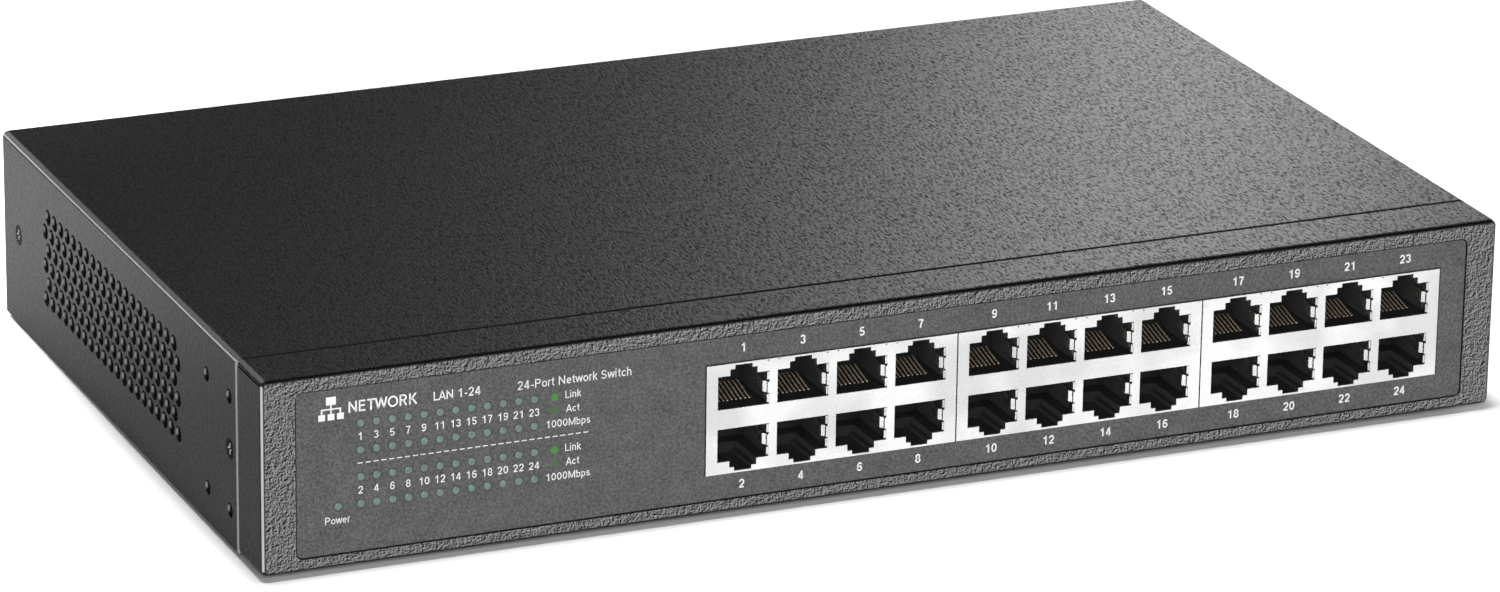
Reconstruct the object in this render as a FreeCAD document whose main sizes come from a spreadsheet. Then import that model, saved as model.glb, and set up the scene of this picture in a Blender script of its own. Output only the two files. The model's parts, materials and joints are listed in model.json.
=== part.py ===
import FreeCAD, Part
import math
import operator
import os

import Sketcher

# A 24-port desktop and rack Ethernet switch, in millimetres. X runs to the right as seen from the front,
# Y to the back and Z up. Sub-parts are drawn from the underside of the steel case, in the middle of its
# footprint, and lifted by the height of the rubber feet.

os.makedirs("parts", exist_ok=True)
doc = FreeCAD.newDocument("NetworkSwitch")

# ---------------------------------------------------------------- driving dimensions

DIMENSIONS = {
    "case_width": 294.0,
    "case_depth": 180.0,
    "case_height": 44.0,
    "foot_drop": 1.2,
    "sheet_metal": 1.0,
    "sheet_gap": 0.15,
    "bend_radius": 1.4,
    "front_return": 15.0,
    "corner_slit": 0.4,
    "overlay_width": 279.0,
    "overlay_low": 2.9,
    "overlay_high": 40.6,
    "overlay_corner": 1.6,
    "overlay_gap": 0.3,
    "recess_depth": 0.6,
    "overlay_thickness": 0.35,
    "block_centre": 43.45,
    "block_pitch": 59.57,
    "block_gap": 0.3,
    "block_low": 9.0,
    "block_high": 34.2,
    "block_depth": 30.0,
    "port_pitch": 13.97,
    "port_width": 12.05,
    "port_floor": 2.25,
    "port_ceiling": 9.85,
    "latch_shoulder": 11.3,
    "latch_top": 12.2,
    "shoulder_width": 6.35,
    "latch_width": 4.05,
    "port_depth": 14.6,
    "latch_depth": 11.0,
    "shield_metal": 0.3,
    "wire_pitch": 1.02,
    "wire_width": 0.45,
    "wire_thickness": 0.3,
    "wire_length": 8.2,
    "wire_slope": 14.0,
    "wire_root_depth": 5.4,
    "led_pitch": 3.58,
    "led_row_pitch": 6.07,
    "led_first": -124.8,
    "led_low": 13.6,
    "led_size": 1.7,
    "power_led_step": 5.1,
    "vent_pitch": 4.695,
    "vent_row_pitch": 4.06,
    "vent_size": 3.75,
    "vent_front": -35.3,
    "vent_low": 13.3,
    "ear_hole": 3.4,
    "ear_front": -69.3,
    "ear_low": 7.9,
    "ear_spacing_across": 14.6,
    "ear_spacing_up": 26.0,
    "cover_screw_front": -69.6,
    "cover_screw_back": 79.2,
    "cover_screw_height": 22.0,
    "cover_screw_size": 3.0,
    "foot_size": 12.0,
    "foot_inset": 18.0,
    "foot_seat": 0.4,
    "board_thickness": 1.6,
    "board_height": 7.3,
    "board_left": -141.0,
    "board_right": 141.0,
    "board_front": -87.9,
    "board_back": 8.0,
    "screw_size": 3.0,
    "inlet_centre": 118.0,
    "inlet_height": 23.0,
    "inlet_width": 27.0,
    "inlet_tall": 19.6,
    "inlet_depth": 24.0,
    "lock_slot_width": 7.0,
    "lock_slot_tall": 3.0,
    "lock_slot_centre": -118.0,
    "lock_slot_height": 16.5,
    "ground_seat_size": 8.0,
    "ground_seat_depth": 2.4,
    "supply_left": 8.0,
    "supply_right": 98.0,
    "supply_front": 22.0,
    "supply_back": 84.0,
    "screw_inset": 4.0,
    "switch_chip_size": 28.0,
    "switch_chip_tall": 2.6,
    "switch_chip_across": -52.0,
    "switch_chip_back": -19.0,
    "switch_sink_size": 38.0,
    "phy_chip_size": 16.0,
    "phy_chip_tall": 1.4,
    "phy_chip_back": -24.0,
    "phy_sink_size": 20.0,
    "sink_plate": 2.0,
    "sink_tall": 10.0,
    "magnetics_width": 12.0,
    "magnetics_front": -56.0,
    "magnetics_back": -40.0,
    "magnetics_tall": 6.0,
    "can_tall": 11.5,
    "coil_size": 10.0,
    "coil_tall": 4.5,
    "core_tall": 22.0,
    "bulk_can_size": 18.0,
    "bulk_can_tall": 25.0,
    "supply_sink_long": 22.0,
    "supply_sink_tall": 24.0,
    "choke_size": 16.0,
    "choke_bore": 6.0,
    "choke_front": 42.0,
    "choke_thickness": 8.0,
    "inlet_mouth_depth": 17.0,
    "terminal_front": 28.9,
    "terminal_tall": 10.0,
    "mains_wire_size": 2.4,
    "ground_wire_size": 2.2,
    "dc_wire_size": 1.5,
    "dc_wire_pitch": 2.54,
}

OPERATIONS = {"+": operator.add, "-": operator.sub, "*": operator.mul, "/": operator.truediv}


class Size:
    """A length together with the sheet expression that it follows."""

    def __init__(self, value, text):
        self.value = value
        self.text = text

    def __add__(self, other):
        return join(self, "+", other)

    def __radd__(self, other):
        return join(other, "+", self)

    def __sub__(self, other):
        return join(self, "-", other)

    def __rsub__(self, other):
        return join(other, "-", self)

    def __mul__(self, other):
        return join(self, "*", other)

    def __rmul__(self, other):
        return join(other, "*", self)

    def __truediv__(self, other):
        return join(self, "/", other)

    def __neg__(self):
        return join(0, "-", self)


def as_size(number):
    return number if isinstance(number, Size) else Size(float(number), f"{float(number):.6f}")


def join(left, sign, right):
    left, right = as_size(left), as_size(right)
    return Size(OPERATIONS[sign](left.value, right.value), f"({left.text} {sign} {right.text})")


def make_sheet():
    sheet = doc.addObject("Spreadsheet::Sheet", "Sheet")
    for row, (alias, value) in enumerate(DIMENSIONS.items(), start=1):
        sheet.set(f"A{row}", alias)
        sheet.set(f"B{row}", str(value))
        sheet.setAlias(f"B{row}", alias)
    doc.recompute()
    return {alias: Size(value, f"Sheet.{alias}") for alias, value in DIMENSIONS.items()}


size = make_sheet()
subparts = []

# Levels that several sub-parts share.
half_width = size["case_width"] / 2
half_depth = size["case_depth"] / 2
metal = size["sheet_metal"]
front = -half_depth
inside_front = front + metal
inner_side = half_width - metal
flange_outer = inner_side - size["sheet_gap"]
flange_inner = flange_outer - metal
cover_under = size["case_height"] - metal
return_end = front + size["front_return"]
recess_floor = front + size["recess_depth"]
boss_back = recess_floor + metal
overlay_face = recess_floor - size["overlay_thickness"]
board_top = size["board_height"] + size["board_thickness"]
block_middle = (size["block_low"] + size["block_high"]) / 2
block_half = (size["block_pitch"] - size["block_gap"]) / 2
block_back = front + size["block_depth"]
window_left = size["block_centre"] - size["block_pitch"] * 1.5 - 0.05
window_right = size["block_centre"] + size["block_pitch"] * 1.5 + 0.15
window_low = size["block_low"] - 0.1
window_high = size["block_high"] + 0.25
led_columns, led_rows = 12, 4
led_power = size["led_first"] - size["power_led_step"]
ports_in_row = 4
ground_at = (size["inlet_centre"] - 32.0, size["inlet_height"] - 10.0)

# ---------------------------------------------------------------- drawing helpers


def bind(thing, path, length):
    thing.setExpression(path, as_size(length).text)


def new_body(label):
    """A body for one sub-part, lifted onto the feet."""
    body = doc.addObject("PartDesign::Body", label)
    body.AllowCompound = True
    return finish(body, label)


def finish(thing, label, across=0.0, upward=0.0):
    """Names a sub-part, lifts it onto the feet and adds it to those that are written out."""
    thing.Label = label
    bind(thing, "Placement.Base.x", across)
    bind(thing, "Placement.Base.z", size["foot_drop"] + upward)
    subparts.append(thing)
    return thing


def origin_feature(body, role):
    return next(item for item in body.Origin.OriginFeatures if item.Role == role)


def hold(sketch, kind, curve, point, length):
    number = sketch.addConstraint(Sketcher.Constraint(kind, -1, 1, curve, point, as_size(length).value))
    bind(sketch, f"Constraints[{number}]", length)


def draw_outline(sketch, corners):
    """A closed straight-sided outline, with every corner held at its own place."""
    first, count = sketch.GeometryCount, len(corners)
    places = [FreeCAD.Vector(as_size(x).value, as_size(y).value, 0) for x, y in corners]
    for index in range(count):
        sketch.addGeometry(Part.LineSegment(places[index], places[(index + 1) % count]))
    for index in range(count):
        following = first + (index + 1) % count
        sketch.addConstraint(Sketcher.Constraint("Coincident", first + index, 2, following, 1))
        hold(sketch, "DistanceX", first + index, 1, corners[index][0])
        hold(sketch, "DistanceY", first + index, 1, corners[index][1])


def draw_circle(sketch, across, upward, diameter):
    centre = FreeCAD.Vector(as_size(across).value, as_size(upward).value, 0)
    radius = as_size(diameter) / 2
    curve = sketch.addGeometry(Part.Circle(centre, FreeCAD.Vector(0, 0, 1), radius.value))
    hold(sketch, "DistanceX", curve, 3, across)
    hold(sketch, "DistanceY", curve, 3, upward)
    number = sketch.addConstraint(Sketcher.Constraint("Radius", curve, radius.value))
    bind(sketch, f"Constraints[{number}]", radius)


def rectangle(left, low, right, high):
    return [(left, low), (right, low), (right, high), (left, high)]


def add_sketch(body, name, plane, level, outlines, circles):
    sketch = body.newObject("Sketcher::SketchObject", name + "Sketch")
    sketch.AttachmentSupport = (origin_feature(body, plane + "_Plane"), [""])
    sketch.MapMode = "FlatFace"
    # The XZ plane faces forward, so its offset runs against Y.
    bind(sketch, "AttachmentOffset.Base.z", -level if plane == "XZ" else level)
    for corners in outlines:
        draw_outline(sketch, corners)
    for circle in circles:
        draw_circle(sketch, *circle)
    return sketch


def add_pad(body, name, plane, low, high, outlines=(), circles=()):
    """Material between two levels along the plane's own axis."""
    low, high = as_size(low), as_size(high)
    start = high if plane == "XZ" else low
    feature = body.newObject("PartDesign::Pad", name)
    feature.Profile = add_sketch(body, name, plane, start, outlines, circles)
    bind(feature, "Length", high - low)
    body.Tip = feature
    doc.recompute()
    return feature


def add_pocket(body, name, plane, low, high, outlines=(), circles=()):
    """Material taken away between two levels along the plane's own axis."""
    low, high = as_size(low), as_size(high)
    before = body.Shape.Volume
    start = low if plane == "XZ" else high
    feature = body.newObject("PartDesign::Pocket", name)
    feature.Profile = add_sketch(body, name, plane, start, outlines, circles)
    bind(feature, "Length", high - low)
    body.Tip = feature
    doc.recompute()
    if feature.Shape.Volume >= before:
        raise RuntimeError(f"{body.Label}: {name} cuts nothing")
    return feature


def repeat(body, name, features, axis, spacing, count, second_axis=None, second_spacing=0.0,
           second_count=1):
    """Copies features along one or two of the body's axes."""
    pattern = body.newObject("PartDesign::LinearPattern", name)
    pattern.Originals = features
    pattern.Direction = (origin_feature(body, axis + "_Axis"), [""])
    bind(pattern, "Length", as_size(spacing) * (count - 1))
    pattern.Occurrences = count
    if second_axis:
        pattern.Direction2 = (origin_feature(body, second_axis + "_Axis"), [""])
        bind(pattern, "Length2", as_size(second_spacing) * (second_count - 1))
        pattern.Occurrences2 = second_count
    body.Tip = pattern
    doc.recompute()
    return pattern


def mirror(body, name, features):
    """Copies features to the other side of the middle plane, left to right."""
    mirrored = body.newObject("PartDesign::Mirrored", name)
    mirrored.Originals = features
    mirrored.MirrorPlane = (origin_feature(body, "YZ_Plane"), [""])
    body.Tip = mirrored
    doc.recompute()
    return mirrored


def round_edges(body, name, radius, chosen):
    """Rounds the edges of the body's last feature that chosen() accepts."""
    base = body.Tip
    names = [f"Edge{n}" for n, edge in enumerate(base.Shape.Edges, start=1) if chosen(edge)]
    feature = body.newObject("PartDesign::Fillet", name)
    feature.Base = (base, names)
    bind(feature, "Radius", radius)
    body.Tip = feature
    doc.recompute()
    return feature


def bevel_edges(body, name, width, chosen):
    """Bevels the edges of the body's last feature that chosen() accepts."""
    base = body.Tip
    names = [f"Edge{n}" for n, edge in enumerate(base.Shape.Edges, start=1) if chosen(edge)]
    feature = body.newObject("PartDesign::Chamfer", name)
    feature.Base = (base, names)
    bind(feature, "Size", width)
    body.Tip = feature
    doc.recompute()
    return feature


def lies_at(edge, **levels):
    """True when a whole edge lies at the given levels, such as X=3 or Z=0."""
    box = edge.BoundBox
    for axis, level in levels.items():
        lowest, highest = getattr(box, axis + "Min"), getattr(box, axis + "Max")
        if abs(lowest - as_size(level).value) > 0.01 or abs(highest - as_size(level).value) > 0.01:
            return False
    return True


def block(name, low_corner, high_corner):
    """A plain box between two corners."""
    box = doc.addObject("Part::Box", name)
    for key, side, low, high in zip("xyz", ("Length", "Width", "Height"), low_corner, high_corner):
        bind(box, f"Placement.Base.{key}", low)
        bind(box, side, as_size(high) - low)
    return box


def rod(name, centre, diameter, length, axis="Z"):
    """A round bar that starts at its centre point and runs along one axis."""
    bar = doc.addObject("Part::Cylinder", name)
    turn = {"X": (0, 1, 0, 90), "Y": (1, 0, 0, -90), "Z": (0, 0, 1, 0)}[axis]
    bar.Placement.Rotation = FreeCAD.Rotation(FreeCAD.Vector(*turn[:3]), turn[3])
    for key, level in zip("xyz", centre):
        bind(bar, f"Placement.Base.{key}", level)
    bind(bar, "Radius", as_size(diameter) / 2)
    bind(bar, "Height", length)
    return bar


def cut(name, base, tool):
    result = doc.addObject("Part::Cut", name)
    result.Base = base
    result.Tool = tool
    return result


def fuse(name, pieces):
    result = doc.addObject("Part::MultiFuse", name)
    result.Shapes = pieces
    return result


def group(label, pieces):
    """One node that holds several separate solids of one kind."""
    result = doc.addObject("Part::Compound", label)
    result.Links = pieces
    return finish(result, label)


def bent_cable(points, diameter):
    """A round cable along straight runs that are joined by tangent arcs."""
    places = [FreeCAD.Vector(*(as_size(value).value for value in point)) for point in points]
    edges, start = [], places[0]
    for before, corner, after in zip(places, places[1:], places[2:]):
        back, ahead = (before - corner), (after - corner)
        shorter = min(back.Length, ahead.Length)
        back.normalize()
        ahead.normalize()
        reach = 0.45 * shorter
        enter, leave = corner + back * reach, corner + ahead * reach
        half_turn = (math.pi - back.getAngle(ahead)) / 2
        bend = reach / math.tan(half_turn)
        middle_way = (back + ahead).normalize()
        crown = corner + middle_way * (bend / math.cos(half_turn) - bend)
        edges.append(Part.LineSegment(start, enter).toShape())
        edges.append(Part.Arc(enter, crown, leave).toShape())
        start = leave
    edges.append(Part.LineSegment(start, places[-1]).toShape())
    route = Part.Wire(edges)
    profile = Part.Wire(Part.makeCircle(diameter / 2, places[0], places[1] - places[0]))
    cable = route.makePipeShell([profile], True, True)
    expected = math.pi * diameter**2 / 4 * route.Length
    if abs(cable.Volume - expected) > 0.02 * expected:
        raise RuntimeError(f"cable volume {cable.Volume:.1f} is not {expected:.1f}")
    return cable


# ---------------------------------------------------------------- steel case


def port_outline(side):
    """The plug opening above (side 1) or below (side -1) the middle of a jack block, latch outwards."""
    half = size["port_width"] / 2
    floor = block_middle + size["port_floor"] * side
    ceiling = block_middle + size["port_ceiling"] * side
    return mirrored_outline([(half, floor), (half, ceiling)] + latch_steps(side, ceiling))


def latch_outline(side):
    """The stepped channel for a plug's latch, without the room for the plug itself."""
    return mirrored_outline(latch_steps(side, block_middle + (size["port_ceiling"] - 0.5) * side))


def latch_steps(side, start):
    """The right-hand half of the two steps that hold a plug's latch."""
    shoulder, latch = size["shoulder_width"] / 2, size["latch_width"] / 2
    step = block_middle + size["latch_shoulder"] * side
    top = block_middle + size["latch_top"] * side
    return [(shoulder, start), (shoulder, step), (latch, step), (latch, top)]


def mirrored_outline(right_side):
    """A closed outline from its right-hand half, at the first port of a jack block."""
    left_side = [(-x, z) for x, z in reversed(right_side)]
    return [(x - size["port_pitch"] * 1.5, z) for x, z in right_side + left_side]


def outward(side, inner, outer):
    """Two heights in the upper (side 1) or lower (side -1) jack row, given from the middle outwards."""
    ends = [block_middle + as_size(inner) * side, block_middle + as_size(outer) * side]
    return ends if side > 0 else ends[::-1]


def rounded_edges_along_y(x_levels, z_levels):
    return lambda edge: any(lies_at(edge, X=x, Z=z) for x in x_levels for z in z_levels)


def make_base_chassis():
    body = new_body("base_chassis")
    add_pad(body, "FrontBox", "XZ", front, return_end,
            [rectangle(-half_width, 0, half_width, size["case_height"])])
    outer_x, outer_z = (-half_width, half_width), (0, size["case_height"])
    round_edges(body, "FrontBends", size["bend_radius"], lambda edge: (
        any(lies_at(edge, X=x, Z=z) for x in outer_x for z in outer_z)
        or any(lies_at(edge, X=x, Y=front) for x in outer_x)
        or any(lies_at(edge, Y=front, Z=z) for z in outer_z)))
    add_pocket(body, "FrontHollow", "XZ", inside_front, return_end,
               [rectangle(-inner_side, metal, inner_side, cover_under)])
    add_pad(body, "BottomPlate", "XY", 0, metal,
            [rectangle(-flange_outer, return_end - metal, flange_outer, half_depth)])
    add_pad(body, "RearPanel", "XZ", half_depth - metal, half_depth,
            [rectangle(-flange_outer, 0, flange_outer, cover_under - size["sheet_gap"])])
    flange_top, flange_low = cover_under - 2.0, metal * 5
    front_tab, rear_tab = size["vent_front"] - 6.0, size["cover_screw_back"] - 8.0
    flange = add_pad(body, "SideFlange", "YZ", flange_inner, flange_outer, [[
        (inside_front + metal, 0), (half_depth, 0), (half_depth, flange_top), (rear_tab, flange_top),
        (rear_tab, flange_low), (front_tab, flange_low), (front_tab, flange_top),
        (inside_front + metal, flange_top)]])
    mirror(body, "OtherSideFlange", [flange])
    add_emboss(body)
    add_front_openings(body)
    add_rear_openings(body)
    add_flange_holes(body)
    add_foot_seats(body)
    slit = size["corner_slit"]
    add_pocket(body, "CornerSlits", "XZ", inside_front, return_end, [
        rectangle(side * half_width if side < 0 else inner_side, cover_under - slit,
                  -inner_side if side < 0 else half_width, cover_under) for side in (-1, 1)])


def add_emboss(body):
    """The front panel steps back over the overlay, as one pressing."""
    half = size["overlay_width"] / 2
    low, high, edge = size["overlay_low"], size["overlay_high"], metal * 0.7
    add_pad(body, "EmbossBack", "XZ", inside_front, boss_back,
            [rectangle(-half - edge, low - edge, half + edge, high + edge)])
    add_pocket(body, "EmbossFront", "XZ", front, recess_floor, [rectangle(-half, low, half, high)])
    round_edges(body, "EmbossCorners", size["overlay_corner"], lambda edge_: any(
        lies_at(edge_, X=x, Z=z) and lies_at_front(edge_) for x in (-half, half) for z in (low, high)))


def lies_at_front(edge):
    return edge.BoundBox.YMax < recess_floor.value + 0.01


def add_front_openings(body):
    add_pocket(body, "JackWindow", "XZ", front, boss_back,
               [rectangle(window_left, window_low, window_right, window_high)])
    hole = size["led_size"] + 0.6
    led = add_pocket(body, "LedHole", "XZ", front, boss_back,
                     circles=[(size["led_first"], size["led_low"], hole)])
    repeat(body, "LedHoles", [led], "X", size["led_pitch"], led_columns, "Z", size["led_row_pitch"],
           led_rows)
    add_pocket(body, "PowerLedHole", "XZ", front, boss_back, circles=[(led_power, size["led_low"], hole)])


def add_rear_openings(body):
    """The inlet opening, a lock slot and a pressed seat that sinks the ground screw."""
    centre, height = size["inlet_centre"], size["inlet_height"]
    half, tall = size["inlet_width"] / 2, size["inlet_tall"] / 2
    slot_half, slot_tall = size["lock_slot_width"] / 2, size["lock_slot_tall"] / 2
    slot_x, slot_z = size["lock_slot_centre"], size["lock_slot_height"]
    add_pocket(body, "InletOpening", "XZ", half_depth - metal, half_depth,
               [rectangle(centre - half, height - tall, centre + half, height + tall),
                rectangle(slot_x - slot_half, slot_z - slot_tall, slot_x + slot_half, slot_z + slot_tall)])
    seat_face = half_depth - size["ground_seat_depth"]
    seat = size["ground_seat_size"]
    add_pad(body, "GroundSeatBack", "XZ", seat_face - metal, half_depth - metal,
            circles=[(*ground_at, seat + metal * 2)])
    add_pocket(body, "GroundSeat", "XZ", seat_face, half_depth, circles=[(*ground_at, seat)])
    add_pocket(body, "GroundThread", "XZ", seat_face - metal, seat_face,
               circles=[(*ground_at, size["screw_size"])])


def add_flange_holes(body):
    """Threaded holes behind the rack-ear holes and behind the cover screws."""
    ear_y, ear_z = size["ear_front"], size["ear_low"]
    ear = add_pocket(body, "EarHole", "YZ", -flange_outer, flange_outer,
                     circles=[(ear_y, ear_z, size["ear_hole"])])
    repeat(body, "EarHoles", [ear], "Y", size["ear_spacing_across"], 2, "Z", size["ear_spacing_up"], 2)
    add_pocket(body, "CoverScrewThreads", "YZ", -flange_outer, flange_outer, circles=[
        (size["cover_screw_front"], size["cover_screw_height"], size["cover_screw_size"]),
        (size["cover_screw_back"], size["cover_screw_height"], size["cover_screw_size"])])


def add_foot_seats(body):
    reach_x, reach_y = half_width - size["foot_inset"], half_depth - size["foot_inset"]
    seat = add_pocket(body, "FootSeat", "XY", 0, size["foot_seat"],
                      circles=[(-reach_x, -reach_y, size["foot_size"] + 1.0)])
    repeat(body, "FootSeats", [seat], "X", reach_x * 2, 2, "Y", reach_y * 2, 2)


def make_top_cover():
    body = new_body("top_cover")
    seam = return_end + size["sheet_gap"] * 2
    add_pad(body, "Bends", "XZ", seam, half_depth,
            [rectangle(-half_width, 0, half_width, size["case_height"])])
    round_edges(body, "OuterBends", size["bend_radius"],
                lambda edge: any(lies_at(edge, X=x, Z=size["case_height"])
                                 for x in (-half_width, half_width)))
    add_pocket(body, "Inside", "XZ", seam, half_depth, [rectangle(-inner_side, 0, inner_side, cover_under)])
    # A joggled tongue on the front edge slides under the top return of the base.
    tongue_high = cover_under - size["sheet_gap"]
    tongue_low = tongue_high - metal
    tongue_half = half_width - 7.0
    tongue_front, root_front, root_back = seam - 8.0, seam + metal * 0.5, seam + metal * 2
    root_high = cover_under + metal / 2
    add_pad(body, "Tongue", "YZ", -tongue_half, tongue_half, [[
        (tongue_front, tongue_low), (root_back, tongue_low), (root_back, root_high),
        (root_front, root_high), (root_front, tongue_high), (tongue_front, tongue_high)]])
    add_vents(body)
    add_cover_holes(body)


def add_vents(body):
    """Rows of round holes in both sides, every second row shifted by half a pitch."""
    pitch, rise = size["vent_pitch"], size["vent_row_pitch"]
    rows = [("Long", 21, size["vent_front"], size["vent_low"]),
            ("Short", 20, size["vent_front"] + pitch / 2, size["vent_low"] + rise)]
    for name, count, start, height in rows:
        hole = add_pocket(body, f"{name}VentHole", "YZ", -half_width, half_width,
                          circles=[(start, height, size["vent_size"])])
        repeat(body, f"{name}VentRows", [hole], "Y", pitch, count, "Z", rise * 2, 3)


def add_cover_holes(body):
    ear = add_pocket(body, "EarHole", "YZ", -half_width, half_width,
                     circles=[(size["ear_front"], size["ear_low"], size["ear_hole"])])
    repeat(body, "EarHoles", [ear], "Y", size["ear_spacing_across"], 2, "Z", size["ear_spacing_up"], 2)
    add_pocket(body, "ScrewHoles", "YZ", -half_width, half_width, circles=[
        (size["cover_screw_front"], size["cover_screw_height"], size["cover_screw_size"]),
        (size["cover_screw_back"], size["cover_screw_height"], size["cover_screw_size"])])
    outer_rims = [half_width, -half_width]
    bevel_edges(body, "Countersinks", metal - 0.05, lambda edge: any(
        lies_at(edge, X=x) and edge.Closed
        and abs(edge.BoundBox.ZLength - size["cover_screw_size"].value) < 0.01
        for x in outer_rims))


def make_front_overlay():
    """The printed panel in the recess, with a window for the jacks and a clear dot before every light."""
    body = new_body("front_overlay")
    gap = size["overlay_gap"]
    half = size["overlay_width"] / 2 - gap
    low, high = size["overlay_low"] + gap, size["overlay_high"] - gap
    add_pad(body, "Panel", "XZ", overlay_face, recess_floor, [rectangle(-half, low, half, high)])
    round_edges(body, "Corners", size["overlay_corner"] - gap,
                rounded_edges_along_y((-half, half), (low, high)))
    add_pocket(body, "JackWindow", "XZ", overlay_face, recess_floor,
               [rectangle(window_left, window_low, window_right, window_high)])
    led = add_pocket(body, "LedHole", "XZ", overlay_face, recess_floor,
                     circles=[(size["led_first"], size["led_low"], size["led_size"] + 0.1)])
    repeat(body, "LedHoles", [led], "X", size["led_pitch"], led_columns, "Z", size["led_row_pitch"],
           led_rows)
    add_pocket(body, "PowerLedHole", "XZ", overlay_face, recess_floor,
               circles=[(led_power, size["led_low"], size["led_size"] + 0.1)])


# ---------------------------------------------------------------- status lights

light_left = led_power - 4.0
light_right = size["led_first"] + size["led_pitch"] * (led_columns - 1) + 4.0
light_low = size["led_low"] - 2.9
light_high = size["led_low"] + size["led_row_pitch"] * (led_rows - 1) + 2.9
lens_web_front = boss_back + 0.1
lens_web_back = lens_web_front + 0.6
light_shield_back = lens_web_back + 2.6
light_board_back = light_shield_back + 1.2


def add_light_grid(body, name, add_feature, low, high, diameter):
    """One round feature at every status light, and one at the power light."""
    led = add_feature(body, name, "XZ", low, high, circles=[(size["led_first"], size["led_low"], diameter)])
    repeat(body, name + "Grid", [led], "X", size["led_pitch"], led_columns, "Z", size["led_row_pitch"],
           led_rows)
    add_feature(body, "Power" + name, "XZ", low, high, circles=[(led_power, size["led_low"], diameter)])


def make_lights():
    plate = rectangle(light_left, light_low, light_right, light_high)
    lenses = new_body("led_lenses")
    add_pad(lenses, "Web", "XZ", lens_web_front, lens_web_back, [plate])
    add_light_grid(lenses, "Pin", add_pad, overlay_face + 0.02, lens_web_front, size["led_size"])

    shield = new_body("led_light_shield")
    add_pad(shield, "Grid", "XZ", lens_web_back, light_shield_back, [plate])
    add_light_grid(shield, "Cell", add_pocket, lens_web_back, light_shield_back, size["led_size"] + 1.0)

    board = new_body("led_board")
    add_pad(board, "Board", "XZ", light_shield_back, light_board_back,
            [rectangle(light_left - 1.0, board_top, light_right + 1.0, light_high + 1.0)])

    leds = new_body("status_leds")
    led_half = 0.6
    low_led = rectangle(size["led_first"] - led_half, size["led_low"] - led_half,
                        size["led_first"] + led_half, size["led_low"] + led_half)
    chip = add_pad(leds, "Chip", "XZ", light_shield_back - 0.7, light_shield_back, [low_led])
    repeat(leds, "Chips", [chip], "X", size["led_pitch"], led_columns, "Z", size["led_row_pitch"], led_rows)
    add_pad(leds, "PowerChip", "XZ", light_shield_back - 0.7, light_shield_back,
            [[(x - size["power_led_step"], z) for x, z in low_led]])


# ---------------------------------------------------------------- jacks

root_y = front + size["wire_root_depth"]
root_radius = 0.28
root_drop = 0.15


def make_jack_shield(label, centre):
    """A folded tin shell round one block of eight jacks, open towards the board."""
    body = doc.addObject("PartDesign::Body", label)
    finish(body, label, centre)
    skin = size["shield_metal"]
    add_pad(body, "Shell", "XZ", front, block_back,
            [rectangle(-block_half, size["block_low"], block_half, size["block_high"])])
    add_pocket(body, "Hollow", "XY", size["block_low"], size["block_high"] - skin,
               [rectangle(-block_half + skin, front + skin, block_half - skin, block_back - skin)])
    openings = add_pocket(body, "Openings", "XZ", front, front + skin, [port_outline(1), port_outline(-1)])
    repeat(body, "OpeningRow", [openings], "X", size["port_pitch"], ports_in_row)
    between = size["port_pitch"] * -1.0
    nicks = add_pocket(body, "Nicks", "XZ", front, front + skin,
                       [rectangle(between + shift - 0.15, size["block_high"] - 0.45,
                                  between + shift + 0.15, size["block_high"]) for shift in (-1.3, 1.3)])
    repeat(body, "NickRow", [nicks], "X", size["port_pitch"], ports_in_row - 1)
    edge = size["port_width"] / 2 - size["port_pitch"] * 1.5
    features = []
    for name, side in (("Upper", 1), ("Lower", -1)):
        low, high = outward(side, size["port_floor"] + skin, size["port_ceiling"] - skin)
        middle = (low + high) / 2
        spring = [(edge + 0.3, front), (edge - 0.4, front), (edge - 0.4, front + 0.6),
                  (edge - 1.05, front + 1.25), (edge - 1.05, front + 1.6), (edge - 0.45, front + 6.0),
                  (edge - 0.2, front + 6.0), (edge - 0.8, front + 1.6), (edge - 0.8, front + 1.35),
                  (edge - 0.15, front + 0.7), (edge - 0.15, front + skin), (edge + 0.3, front + skin)]
        features.append(add_pad(body, name + "Spring", "XY", middle - 1.25, middle + 1.25, [spring]))
        lining = [(edge - 0.4, front + skin), (edge + 0.4, front + skin), (edge + 0.4, front + skin * 2),
                  (edge - 0.15, front + skin * 2), (edge - 0.15, front + 2.0), (edge - 0.4, front + 2.0)]
        features.append(add_pad(body, name + "LiningLow", "XY", low, middle - 1.7, [lining]))
        features.append(add_pad(body, name + "LiningHigh", "XY", middle + 1.7, high, [lining]))
    repeat(body, "SpringRow", features, "X", size["port_pitch"], ports_in_row)


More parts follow.
